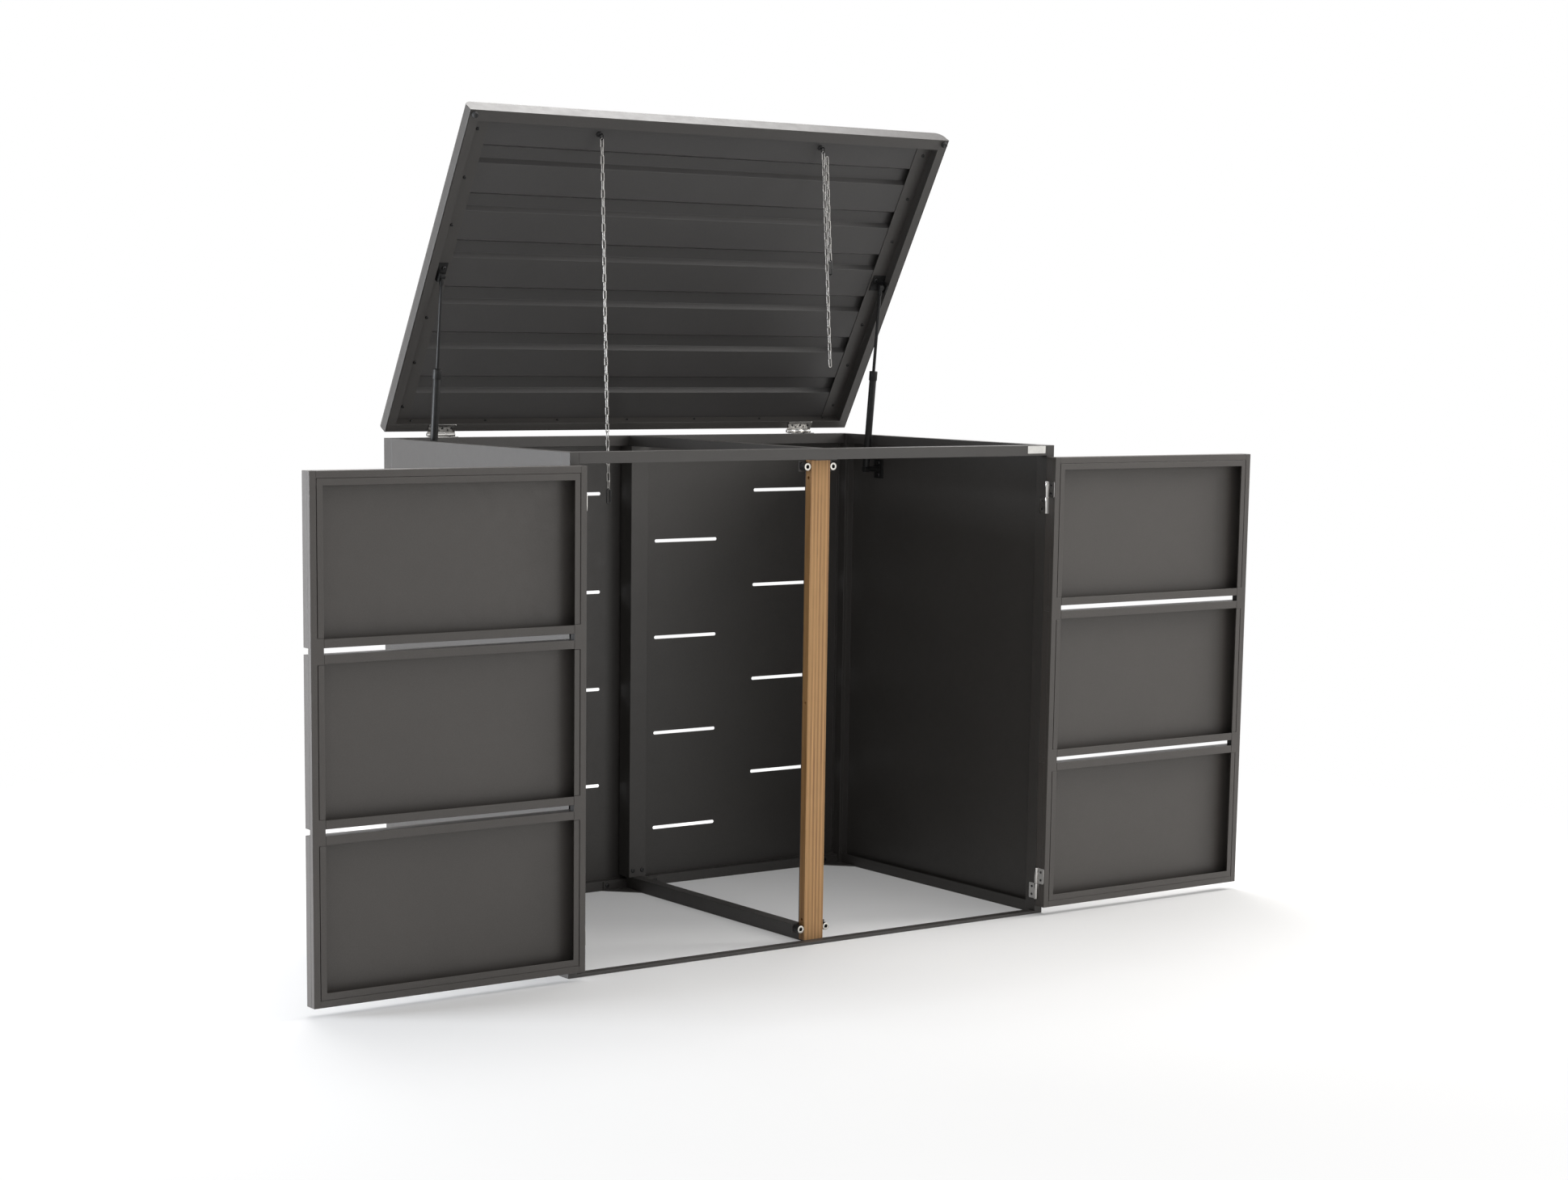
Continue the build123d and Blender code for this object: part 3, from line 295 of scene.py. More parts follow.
def grid(points, round_u=False, round_v=False):
    """Corners and quads of a surface sampled on a grid: points[i, j] runs along u, then v.

    A round direction joins its last row to its first, so tubes and rings have no seam.
    """
    rows, columns = points.shape[:2]
    i = np.arange(rows if round_u else rows - 1)[:, None]
    j = np.arange(columns if round_v else columns - 1)[None, :]
    ahead = (i + 1) % rows
    beside = (j + 1) % columns
    quads = np.stack(
        [i * columns + j, ahead * columns + j, ahead * columns + beside, i * columns + beside], axis=-1
    )
    return points.reshape(-1, 3), [quads.reshape(-1, 4)]


def lathe(profile, foot, axis, turns=32, sides=0, from_ring=0, to_ring=0):
    """A turned solid: each (radius, height) of the profile becomes a ring round the axis.

    Both ends are closed by a flat face. Rings between from_ring and to_ring take a polygon instead of
    a circle when sides is given: their radius at an angle is the polygon's reach at that angle.
    """
    axis = np.asarray(axis, float) / np.linalg.norm(axis)
    helper = UP if abs(axis[2]) < 0.9 else ACROSS
    first = np.cross(helper, axis)
    first /= np.linalg.norm(first)
    second = np.cross(axis, first)
    profile = np.asarray(profile, float)
    around = np.linspace(0, 2 * math.pi, turns, endpoint=False)
    reach = np.ones((len(profile), turns))
    if sides:
        part = 2 * math.pi / sides
        flat = math.cos(part / 2) / np.cos((around % part) - part / 2)
        reach[from_ring:to_ring] = flat
    radius = profile[:, :1] * reach
    ring = np.cos(around)[:, None] * first + np.sin(around)[:, None] * second
    points = np.asarray(foot) + radius[..., None] * ring + profile[:, 1, None, None] * axis
    corners, (quads,) = grid(points, round_v=True)
    foot_face = np.arange(turns)[None, ::-1]
    end_face = np.arange(len(corners) - turns, len(corners))[None]
    return corners, [quads[:, ::-1], foot_face, end_face]


def rounded_bar(radius, low, high, soft):
    """Profile of a turned bar from low to high with a quarter-round edge at each end."""
    bend = np.linspace(0, math.pi / 2, 4)
    rise = np.stack([radius - soft + soft * np.sin(bend), low + soft - soft * np.cos(bend)], axis=-1)
    fall = np.stack([rise[::-1, 0], high - (rise[::-1, 1] - low)], axis=-1)
    return np.concatenate([rise, fall])


def loop_path(long, wide, wire, steps=28):
    """Middle line of a link: a stadium, two straight runs joined by half circles, even in angle.

    At each angle the half circle's centre slides to the top or the bottom end with the sine's sign.
    """
    bend = (wide - wire) / 2
    run = (long - wire) / 2 - bend
    turn = (np.arange(steps) + 0.5) * 2 * math.pi / steps
    flat = bend * np.cos(turn)
    tall = bend * np.sin(turn) + run * np.sign(np.sin(turn))
    outward = np.stack([np.cos(turn), np.sin(turn)], axis=-1)
    return np.stack([flat, tall], axis=-1), outward


def loop_ring(centre, side, tall, long, wide, wire, steps=28, round_steps=10):
    """A link of round wire: the wire's circle carried along the stadium in the plane side x tall."""
    path, outward = loop_path(long, wide, wire, steps)
    basis = np.stack([side, tall])
    line = np.asarray(centre) + path @ basis
    out = outward @ basis
    flat = np.cross(side, tall)
    around = np.linspace(0, 2 * math.pi, round_steps, endpoint=False)
    offset = np.cos(around)[None, :, None] * out[:, None] + np.sin(around)[None, :, None] * flat
    return grid(line[:, None] + wire / 2 * offset, round_u=True, round_v=True)


def plate(low, high, thin, corner, soft=0.0003, steps=5):
    """A flat plate between two corners, thin along one axis: its rounded outline is carried over the
    edge in four rings, so both faces have a softly broken edge."""
    low, high = np.minimum(low, high), np.maximum(low, high)
    flat = [axis for axis in range(3) if axis != thin]
    middle = (low + high) / 2
    half = (high - low) / 2
    bend = np.linspace(0, math.pi / 2, steps)
    quarter = np.stack([np.cos(bend), np.sin(bend)], axis=-1)
    signs = np.array([(1, 1), (-1, 1), (-1, -1), (1, -1)])
    turned = np.stack([quarter, quarter[::-1], quarter, quarter[::-1]]) * signs[:, None]
    centres = signs * (half[flat] - corner)
    rim = (centres[:, None] + turned * corner).reshape(-1, 2)
    inward = turned.reshape(-1, 2)
    insets = np.array([soft, 0, 0, soft])
    heights = np.array([-half[thin], -half[thin] + soft, half[thin] - soft, half[thin]])
    points = np.zeros((4, len(rim), 3))
    points[..., flat] = rim - insets[:, None, None] * inward
    points[..., thin] = heights[:, None]
    corners, (quads,) = grid(points + middle, round_v=True)
    count = len(rim)
    low_face = np.arange(count)[None]
    high_face = low_face + 3 * count
    if np.cross(np.eye(3)[flat[0]], np.eye(3)[flat[1]])[thin] > 0:
        return corners, [quads[:, ::-1], low_face[:, ::-1], high_face]
    return corners, [quads, low_face, high_face[:, ::-1]]


def turned_to_lid(shell):
    """Moves a shell drawn in the lid's own frame, pin at the origin, to the lid's open place."""
    corners, faces = shell
    return LID_PIN + corners @ np.stack([ACROSS, LID_BACK, LID_UP]), faces


def fill_mesh(mesh, shells):
    """Puts shells into a mesh as whole arrays: each shell's corner numbers move on by those before it."""
    counts = [len(corners) for corners, faces in shells]
    starts = np.cumsum(counts) - counts
    blocks = [block + start for start, (corners, faces) in zip(starts, shells) for block in faces]
    sizes = np.concatenate([np.full(len(block), block.shape[1]) for block in blocks])
    mesh.vertices.add(sum(counts))
    mesh.vertices.foreach_set("co", np.concatenate([corners for corners, faces in shells]).ravel())
    mesh.loops.add(int(sizes.sum()))
    order = np.concatenate([block.ravel() for block in blocks]).astype(np.int32)
    mesh.loops.foreach_set("vertex_index", order)
    mesh.polygons.add(len(sizes))
    mesh.polygons.foreach_set("loop_start", (np.cumsum(sizes) - sizes).astype(np.int32))
    mesh.update(calc_edges=True)


def add_object(name, data):
    """Puts a mesh, a light or the camera into the scene."""
    made = bpy.data.objects.new(name, data)
    bpy.context.scene.collection.objects.link(made)
    return made


def make_piece(name, shells, body, finish, slot, *replaces):
    """Joins shells into one object, rides it on its body and gives it its finish."""
    mesh = bpy.data.meshes.new(name)
    fill_mesh(mesh, shells)
    mesh.shade_smooth()
    mesh.set_sharp_from_angle(angle=CRISP)
    mesh.materials.append(bpy.data.materials[finish])
    piece = add_object(name, mesh)
    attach(piece, body)
    if replaces:
        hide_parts(*replaces)
    return piece


def box(node):
    """Lowest and highest corner of a CAD node."""
    return [np.array(corner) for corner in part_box(node)]


def joint_place(name):
    """The point that a joint turns about."""
    return np.array(JOINTS[name]["pos_m"])


# Finishes


def add_node(tree, kind, **values):
    """Adds a shader node, in rows of six to the left of the shader.

    A name in small letters sets an option, any other name an input: to a value, or linked to the
    output that is given.
    """
    row, column = divmod(len(tree.nodes), 6)
    made = tree.nodes.new(kind)
    made.location = (220 * column - 1500, 300 - 300 * row)
    for label, value in values.items():
        if label.islower():
            setattr(made, label, value)
            continue
        socket = made.inputs[label.replace("_", " ")]
        if isinstance(value, bpy.types.NodeSocket):
            tree.links.new(value, socket)
        else:
            socket.default_value = value
    return made


def object_place(tree):
    """The place on the piece, in the model's own frame."""
    return add_node(tree, "ShaderNodeTexCoord").outputs["Object"]


def stretched(tree, place, scale):
    """A place with each axis multiplied by its own scale."""
    return add_node(tree, "ShaderNodeMapping", Vector=place, Scale=scale).outputs["Vector"]


def noise(tree, place, scale, detail, rough=0.5):
    """A cloudy value over a place: its scale, the number of finer layers and how strong those are."""
    made = add_node(tree, "ShaderNodeTexNoise", Vector=place, Scale=scale, Detail=detail, Roughness=rough)
    return made.outputs["Fac"]


def scaled(tree, source, low, high, first=0.3, last=0.7):
    """Carries a value from between first and last, where a noise mostly lies, to a range."""
    remap = add_node(
        tree, "ShaderNodeMapRange", Value=source, From_Min=first, From_Max=last, To_Min=low, To_Max=high
    )
    return remap.outputs["Result"]


def worked(tree, operation, first, second):
    """The sum, the product or the larger of two values."""
    made = add_node(tree, "ShaderNodeMath", operation=operation)
    tree.links.new(first, made.inputs[0])
    tree.links.new(second, made.inputs[1])
    return made.outputs[0]


def tinted(tree, base, amount):
    """Multiplies a colour by a grey amount."""
    mix = add_node(tree, "ShaderNodeMix", data_type="RGBA", blend_type="MULTIPLY")
    mix.inputs[0].default_value = 1.0
    tree.links.new(base, mix.inputs[6])
    tree.links.new(amount, mix.inputs[7])
    return mix.outputs[2]


def new_group(name, **inputs):
    """Starts a finish group with inputs of the given kinds, and the colour, roughness and height that
    every finish group puts out."""
    tree = bpy.data.node_groups.new(name, "ShaderNodeTree")
    for label, kind in inputs.items():
        tree.interface.new_socket(name=label, in_out="INPUT", socket_type=f"NodeSocket{kind}")
    for label, kind in (("Color", "Color"), ("Roughness", "Float"), ("Height", "Float")):
        tree.interface.new_socket(name=label, in_out="OUTPUT", socket_type=f"NodeSocket{kind}")
    return tree, add_node(tree, "NodeGroupInput").outputs


def end_group(tree, shade, gloss, height):
    """Ends a finish group with its colour, gloss and height."""
    end = add_node(tree, "NodeGroupOutput", Color=shade, Roughness=gloss, Height=height)
    end.location.x = 0


def coat_group():
    """Powder coat: fine grain for the bump, a faint cloudiness and speckle in its colour, and soft
    handling marks in its gloss."""
    tree, start = new_group("powder_coat", Shade="Color", Grain="Float", Gloss="Float")
    place = object_place(tree)
    fine = noise(tree, place, start["Grain"], 2.0)
    cloud = noise(tree, place, 3.4, 4.0, 0.55)
    smear = noise(tree, place, 38.0, 3.0, 0.6)
    speck = noise(tree, place, 420.0, 1.0)
    shade = tinted(tree, start["Shade"], scaled(tree, cloud, 0.95, 1.05))
    shade = tinted(tree, shade, scaled(tree, speck, 0.94, 1.06))
    gloss = worked(tree, "ADD", start["Gloss"], scaled(tree, smear, -0.035, 0.035))
    end_group(tree, shade, gloss, fine)


def brushed_group():
    """Metal drawn along one direction: fine streaks in colour and height, and soft spots in colour and
    gloss."""
    tree, start = new_group("drawn_metal", Place="Vector", Shade="Color", Gloss="Float")
    streak = noise(tree, start["Place"], 1.0, 3.0, 0.6)
    spot = noise(tree, object_place(tree), 90.0, 3.0)
    shade = tinted(tree, start["Shade"], scaled(tree, streak, 0.86, 1.06))
    shade = tinted(tree, shade, scaled(tree, spot, 0.9, 1.05))
    gloss = worked(tree, "ADD", start["Gloss"], scaled(tree, spot, -0.06, 0.08))
    end_group(tree, shade, gloss, streak)


def moulded_group():
    """Moulded or rubbery black: a soft pebble in height, and a little grey bloom in colour and gloss."""
    tree, start = new_group("moulded", Shade="Color", Gloss="Float")
    place = object_place(tree)
    pebble = noise(tree, place, 700.0, 2.0)
    bloom = noise(tree, place, 55.0, 4.0)
    shade = tinted(tree, start["Shade"], scaled(tree, bloom, 0.75, 1.35))
    gloss = worked(tree, "ADD", start["Gloss"], scaled(tree, bloom, -0.05, 0.07))
    end_group(tree, shade, gloss, pebble)


def new_finish(name, metallic, strength, distance):
    """Starts a finish with its shader and a bump that feeds the shader's normal."""
    material = bpy.data.materials.new(name)
    material.use_nodes = True
    tree = material.node_tree
    shader = tree.nodes["Principled BSDF"]
    shader.inputs["Metallic"].default_value = metallic
    bump = add_node(tree, "ShaderNodeBump", Strength=strength, Distance=distance)
    tree.links.new(bump.outputs["Normal"], shader.inputs["Normal"])
    return material, tree, shader, bump


def grouped(tree, shader, bump, group, **values):
    """Places a node group in a finish and wires its three outputs to the shader and the bump."""
    effect = add_node(tree, "ShaderNodeGroup", node_tree=bpy.data.node_groups[group], **values)
    tree.links.new(effect.outputs["Color"], shader.inputs["Base Color"])
    tree.links.new(effect.outputs["Roughness"], shader.inputs["Roughness"])
    tree.links.new(effect.outputs["Height"], bump.inputs["Height"])


def coat_finish(name, shade, gloss, grain):
    """One tone of the powder coat."""
    material, tree, shader, bump = new_finish(name, 0.0, 0.12, 0.00012)
    grouped(tree, shader, bump, "powder_coat", Shade=(*shade, 1), Grain=1 / grain, Gloss=gloss)
    return material


def metal_finish(name, shade, gloss, stretch):
    """One bare or plated metal, drawn along the axis with the least stretch."""
    material, tree, shader, bump = new_finish(name, 1.0, 0.08, 0.00005)
    place = stretched(tree, object_place(tree), stretch)
    grouped(tree, shader, bump, "drawn_metal", Place=place, Shade=(*shade, 1), Gloss=gloss)


def moulded_finish(name, shade, gloss, shine=0.5):
    """One black plastic, rubber or satin paint, with its own strength of shine."""
    material, tree, shader, bump = new_finish(name, 0.0, 0.15, 0.0001)
    shader.inputs["Specular IOR Level"].default_value = shine
    grouped(tree, shader, bump, "moulded", Shade=(*shade, 1), Gloss=gloss)
    return material


def timber_finish(timber):
    """Oiled oak, grain upright: growth lines are bands across the post that waver slowly with height,
    and pores are short dark dashes, about eighty times longer than wide."""
    material, tree, shader, bump = new_finish("oiled_oak", 0.0, 0.35, 0.0004)
    place = object_place(tree)
    slow = stretched(tree, place, (1, 1, 0.035))
    fast = stretched(tree, place, (1, 1, 0.012))
    bands = add_node(tree, "ShaderNodeTexWave", Vector=slow, Scale=WAVE / timber.band, Distortion=9.0)
    bands.inputs["Detail"].default_value = 3.0
    bands.inputs["Detail Scale"].default_value = 0.35
    tone = noise(tree, slow, 55.0, 5.0, 0.65)
    pores = noise(tree, fast, 1500.0, 2.0)
    broad = noise(tree, slow, 9.0, 2.0)
    grain = add_node(tree, "ShaderNodeMix", data_type="RGBA")
    grain.inputs[6].default_value = (*timber.early, 1)
    grain.inputs[7].default_value = (*timber.late, 1)
    uneven = scaled(tree, tone, 0.05, 1.0, 0.38, 0.62)
    tree.links.new(worked(tree, "MULTIPLY", bands.outputs["Fac"], uneven), grain.inputs[0])
    shade = tinted(tree, grain.outputs[2], scaled(tree, tone, 0.80, 1.16))
    shade = tinted(tree, shade, scaled(tree, broad, 0.92, 1.08))
    dash = scaled(tree, pores, 0.62, 1.0, 0.3, 0.42)
    tree.links.new(tinted(tree, shade, dash), shader.inputs["Base Color"])
    tree.links.new(scaled(tree, tone, 0.62, 0.5), shader.inputs["Roughness"])
    tree.links.new(dash, bump.inputs["Height"])
    return material


def soften_edges(node, width):
    """Rounds the folded edges of a sheet-metal node without touching its own mesh: the loose
    triangles are joined, flat neighbours merged, and edges over 30 degrees get a small radius."""
    weld = node.modifiers.new("join", "WELD")
    weld.merge_threshold = 0.00001
    merge = node.modifiers.new("flat", "DECIMATE")
    merge.decimate_type = "DISSOLVE"
    merge.angle_limit = math.radians(1)
    bevel = node.modifiers.new("edge", "BEVEL")
    bevel.width = width
    bevel.segments = 2
    bevel.limit_method = "ANGLE"
    bevel.angle_limit = math.radians(30)
    bevel.use_clamp_overlap = True


def dress(slot, material, edge):
    """Gives the CAD nodes of one material slot their finish and soft edges."""
    for part in frame["record"]["subparts"]:
        if part["material_slot"] == slot:
            node = frame["nodes"][part["node"]]
            node.data.materials.clear()
            node.data.materials.append(material)
            soften_edges(node, edge)


def screw_seats(node):
    """Middle, axis, radius and height of each head in a screw node, read from its triangles.

    Every head has the same number of corners, in order, so the corners fold into one array of heads.
    The axis is the direction in which a head is thinnest, turned to the store's open side.
    """
    mesh = frame["nodes"][node].data
    corners = np.empty(len(mesh.vertices) * 3)
    mesh.vertices.foreach_get("co", corners)
    order = np.empty(len(mesh.loops), dtype=int)
    mesh.loops.foreach_get("vertex_index", order)
    per_head = 3 * HEAD_TRIANGLES
    heads = corners.reshape(-1, 3)[order].reshape(-1, per_head, 3)
    middle = (heads.max(axis=1) + heads.min(axis=1)) / 2
    spread = heads - middle[:, None]
    axis = np.linalg.svd(spread, full_matrices=False)[2][:, 2]
    axis *= np.sign(np.sum(axis * (OPEN_SIDE - middle), axis=1))[:, None]
    along = np.sum(spread * axis[:, None], axis=2)
    height = np.ptp(along, axis=1)
    reach = np.linalg.norm(spread - along[..., None] * axis[:, None], axis=2)
    return middle - axis * height[:, None] / 2, axis, reach.max(axis=1), height


def pan_head(seat, axis, radius, height):
    """A low domed head with a hexagon socket: dome, rim of the socket, socket wall and floor."""
    bend = np.linspace(0, 1, 5)
    swell = 0.25 + 0.75 * np.sin(bend * math.pi / 2)
    dome = np.stack([radius * (1 - 0.5 * bend**2), height * swell], axis=-1)
    rim = [(radius, 0.0)]
    hole = [(radius * 0.46, height * 0.97), (radius * 0.44, height * 0.3)]
    return lathe(np.concatenate([rim, dome, hole]), seat, axis, 24, 6, 6, 8)


def flush_head(seat, axis, radius, height):
    """A countersunk head level with its leaf: a thin rim, and a dish that falls towards the middle."""
    steps = np.array([(1.0, 0.0), (0.98, 0.6), (0.92, 1.0), (0.82, 0.9), (0.4, 0.2)])
    return lathe(steps * (radius, height), seat, axis, 24)


# Operators


class BINSTORE_OT_coats(bpy.types.Operator):
    """Powder coat on all sheet metal, with softened folds"""

    bl_idname = "binstore.coats"
    bl_label = "Powder coat"
    bl_options = {"REGISTER", "UNDO"}

    def execute(self, context):
        coat = context.scene.bin_store.coat
        coat_group()
        grey = coat_finish("grey_coat", coat.shade, coat.gloss, coat.grain)
        dress("coat_body", grey, coat.edge)
        dress("coat_lid", grey, coat.edge)
        # The door coat is the body's coat painted lighter and warmer, as painted light.
        dress("coat_door", coat_finish("door_coat", coat.door, coat.gloss, coat.grain), coat.edge)
        # The liner coat is the same coat painted darker and cooler, as painted shade.
        dress("coat_liner", coat_finish("liner_coat", coat.liner, coat.gloss, coat.grain), coat.edge)
        return {"FINISHED"}


class BINSTORE_OT_fittings(bpy.types.Operator):
    """Bare metals and black finishes, and the black nodes that keep their own solid"""

    bl_idname = "binstore.fittings"
    bl_label = "Metals and black fittings"
    bl_options = {"REGISTER", "UNDO"}

    def execute(self, context):
        metal = context.scene.bin_store.metal
        brushed_group()
        moulded_group()
        metal_finish("brushed_stainless", metal.stainless, 0.16, (1400, 1400, 60))
        metal_finish("zinc", metal.zinc, 0.40, (300, 300, 120))
        metal_finish("dark_steel", metal.steel, 0.4, (200, 200, 200))
        metal_finish("magnet_ring", metal.ring, 0.34, (160, 160, 160))
        metal_finish("bare_plate", metal.plate, 0.42, (900, 60, 900))
        moulded_finish("soft_rubber", (0.018, 0.018, 0.018), 0.75)
        dress("bracket_black", moulded_finish("satin_black", metal.black, 0.38, 0.2), metal.edge)
        plastic = moulded_finish("moulded_plastic", (0.016, 0.016, 0.016), 0.5, 0.3)
        dress("black_plastic", plastic, metal.edge)
        return {"FINISHED"}


class BINSTORE_OT_timber(bpy.types.Operator):
    """Oiled oak on the centre post"""

    bl_idname = "binstore.timber"
    bl_label = "Timber post"
    bl_options = {"REGISTER", "UNDO"}

    def execute(self, context):
        timber = context.scene.bin_store.timber
        dress("timber", timber_finish(timber), timber.edge)
        return {"FINISHED"}


class BINSTORE_OT_chains(bpy.types.Operator):
    """Chains of round-wire links with their snap hooks"""

    bl_idname = "binstore.chains"
    bl_label = "Lid chains"
    bl_options = {"REGISTER", "UNDO"}

    def execute(self, context):
        chain = context.scene.bin_store.chain
        self.hang(chain, "chain_left", chain.left_links, 0, chain.left_lean)
        self.hang(chain, "chain_right", chain.right_links, chain.doubled_links, chain.right_lean)
        return {"FINISHED"}

    @staticmethod
    def hang(chain, node, count, doubled, lean):
        """One chain: links a step apart down a leaning line, every second one turned a quarter, a second
        strand beside them where the chain is doubled, and the snap hook on the last link."""
        down = np.array((math.sin(lean), 0, -math.cos(lean)))
        beside = np.array((math.cos(lean), 0, math.sin(lean)))
        eye = joint_place(f"{node}_swing")
        step = chain.link_long - 2 * chain.wire - chain.slack
        first = chain.drop - chain.wire + chain.link_long / 2
        strands = [(0.0, first, count), (chain.apart, first + chain.link_long / 2, doubled)]
        shells = []
        for across, start, links in strands:
            for k in range(links):
                centre = eye + across * beside + (start + k * step) * down
                wide = beside if k % 2 == 0 else BACK
                shells.append(loop_ring(centre, wide, -down, chain.link_long, chain.link_wide, chain.wire))
        make_piece(f"{node}_links", shells, node, "zinc", "zinc_chain", node)
        across, start, links = strands[1] if doubled else strands[0]
        tail = start + (links - 1) * step + chain.link_long / 2 - chain.wire
        middle = tail - chain.hook_wire + chain.hook_long / 2 - chain.slack
        wide = beside if links % 2 == 0 else BACK
        hook = snap_hook(eye + across * beside + middle * down, wide, -down, chain)
        make_piece(f"{node}_snap_hook", hook, node, "dark_steel", "bracket_black")


def snap_hook(centre, wide, tall, chain):
    """A snap hook: a long ring, and on one side a sprung gate, a plain pin with a collar at each end."""
    ring = loop_ring(centre, wide, tall, chain.hook_long, chain.hook_wide, chain.hook_wire, 40, 12)
    side = centre + wide * (chain.hook_wide - chain.hook_wire) / 2
    reach = chain.hook_long * 0.27
    sleeve = chain.hook_wire * 0.66
    half = chain.collar / 2
    gate = lathe(rounded_bar(sleeve, -reach, reach, chain.gate_edge), side, tall, 20)
    collars = [
        lathe(rounded_bar(sleeve * 1.18, end - half, end + half, chain.collar_edge), side, tall, 20)
        for end in (-reach, reach)
    ]
    return [ring, gate, *collars]


class BINSTORE_OT_hinges(bpy.types.Operator):
    """Lift-off door hinges and the lid's butt hinges"""

    bl_idname = "binstore.hinges"
    bl_label = "Hinges"
    bl_options = {"REGISTER", "UNDO"}

    def execute(self, context):
        hinge = context.scene.bin_store.hinge
        self.lift_offs(hinge)
        self.butts(hinge)
        return {"FINISHED"}

    @staticmethod
    def lift_offs(hinge):
        """Each door hinge: the jamb's half below, and the door's half on top of it."""
        low, high = box("door_hinge_jamb_leaves")
        reach = high[1] - joint_place("door_left_hinge")[1]
        feet = (low[2], high[2] - 2 * hinge.half + hinge.pin_short)
        jambs = []
        for side, hand in SIDES:
            door = f"door_{hand}"
            pin = joint_place(f"{door}_hinge")
            halves = []
            for foot in feet:
                jambs += door_half(hinge, pin, foot, foot + hinge.half - hinge.play, side, reach)
                halves += door_half(hinge, pin, foot + hinge.half, foot + 2 * hinge.half, side, -reach)
            make_piece(f"{door}_hinge_halves", halves, door, *HINGE_STEEL, f"{door}_hinge_leaves")
        make_piece("jamb_hinge_halves", jambs, "body", *HINGE_STEEL, "door_hinge_jamb_leaves")

    @staticmethod
    def butts(hinge):
        """Each lid hinge: two leaves on the pin, the body's knuckle between the lid's two."""
        low, high = box("lid_hinge_body_leaves")
        top = low[2] + hinge.leaf
        half = hinge.butt_long / 2
        inner = hinge.butt_mid / 2
        middle = high[0] - half
        soft = hinge.edge
        body, lid = [], []
        for side, hand in SIDES:
            pin = LID_PIN + side * middle * ACROSS
            edge = pin[1] - hinge.knuckle - hinge.play
            x = pin[0]
            body.append(plate((x - half, low[1], low[2]), (x + half, edge, top), 2, hinge.corner))
            tongue = plate((x - inner, edge - hinge.lap, low[2]), (x + inner, pin[1], top), 2, soft)
            barrel = lathe(rounded_bar(hinge.knuckle, -inner, inner, soft), pin, ACROSS)
            body += [tongue, barrel, lathe(rounded_bar(hinge.pin, -half, half, soft), pin, ACROSS, 20)]
            lid += [turned_to_lid(shell) for shell in lid_half(hinge, side * middle, half, inner)]
        make_piece("lid_hinge_lower_halves", body, "body", *HINGE_STEEL, "lid_hinge_body_leaves")
        make_piece("lid_hinge_upper_halves", lid, "lid", *HINGE_STEEL, "lid_hinge_leaves")


def door_half(hinge, pin, low, high, side, reach):
    """One half of a lift-off hinge: a rounded leaf beside the pin and the knuckle round it."""
    out = side * hinge.leaf
    leaf = plate((pin[0], pin[1], low), (pin[0] + out, pin[1] + reach, high), 0, hinge.corner)
    barrel = lathe(rounded_bar(hinge.knuckle, low, high, hinge.door_edge), (pin[0], pin[1], 0), UP)
    return [leaf, barrel]


def lid_half(hinge, middle, half, inner):
    """The lid's half of a butt hinge in the lid's own frame: a leaf, and a tongue and a knuckle at each
    end of it."""
    top = hinge.lip
    foot = top - hinge.leaf
    soft = hinge.edge
    edge = -hinge.knuckle - hinge.play
    shells = [plate((middle - half, -hinge.reach, foot), (middle + half, edge, top), 2, hinge.corner)]
    for a, b in ((-half, -inner - hinge.play), (inner + hinge.play, half)):
        shells.append(plate((middle + a, edge - hinge.lap, foot), (middle + b, 0, top), 2, soft))
        shells.append(lathe(rounded_bar(hinge.knuckle, middle + a, middle + b, soft), (0, 0, 0), ACROSS))
    return shells


class BINSTORE_OT_struts(bpy.types.Operator):
    """Gas struts: turned cylinders and rods with their end sockets"""

    bl_idname = "binstore.struts"
    bl_label = "Gas struts"
    bl_options = {"REGISTER", "UNDO"}

    def execute(self, context):
        strut = context.scene.bin_store.strut
        neck = strut.tube_long - strut.collar_long
        wide = strut.socket_wide / 2
        tube = rounded_bar(strut.tube, strut.tube_from, neck + strut.lap, strut.tube_edge)
        collar = rounded_bar(strut.collar, neck, strut.tube_long, strut.tube_edge)
        eye = rounded_bar(strut.socket, -wide, wide, strut.socket_edge)
        for side, hand in SIDES:
            pivot = joint_place(f"strut_{hand}_swing")
            axis = np.array(JOINTS[f"strut_{hand}_slide"]["axis"])
            across = side * ACROSS
            cylinder = [lathe(tube, pivot, axis), lathe(collar, pivot, axis), lathe(eye, pivot, across, 28)]
            node = f"strut_{hand}_cylinder"
            make_piece(f"strut_{hand}_tube", cylinder, node, "satin_black", "strut_black", node)
            node = f"strut_{hand}_rod"
            tip = self.tip_distance(node, pivot, axis, strut)
            rod = rounded_bar(strut.rod, strut.rod_from, tip, strut.rod_edge)
            sleeve = rounded_bar(strut.sleeve, tip - strut.sleeve_long, tip, strut.sleeve_edge)
            piston = [
                lathe(rod, pivot, axis, 24),
                lathe(sleeve, pivot, axis, 24),
                lathe(eye, pivot + tip * axis, across, 28),
            ]
            make_piece(f"strut_{hand}_piston", piston, node, "satin_black", "strut_rod", node)
        return {"FINISHED"}

    @staticmethod
    def tip_distance(rod, pivot, axis, strut):
        """Distance from the lower pivot to the upper socket's middle, from the rod node's own box."""
        low, high = box(rod)
        return (high[2] - strut.socket - pivot[2]) / axis[2]


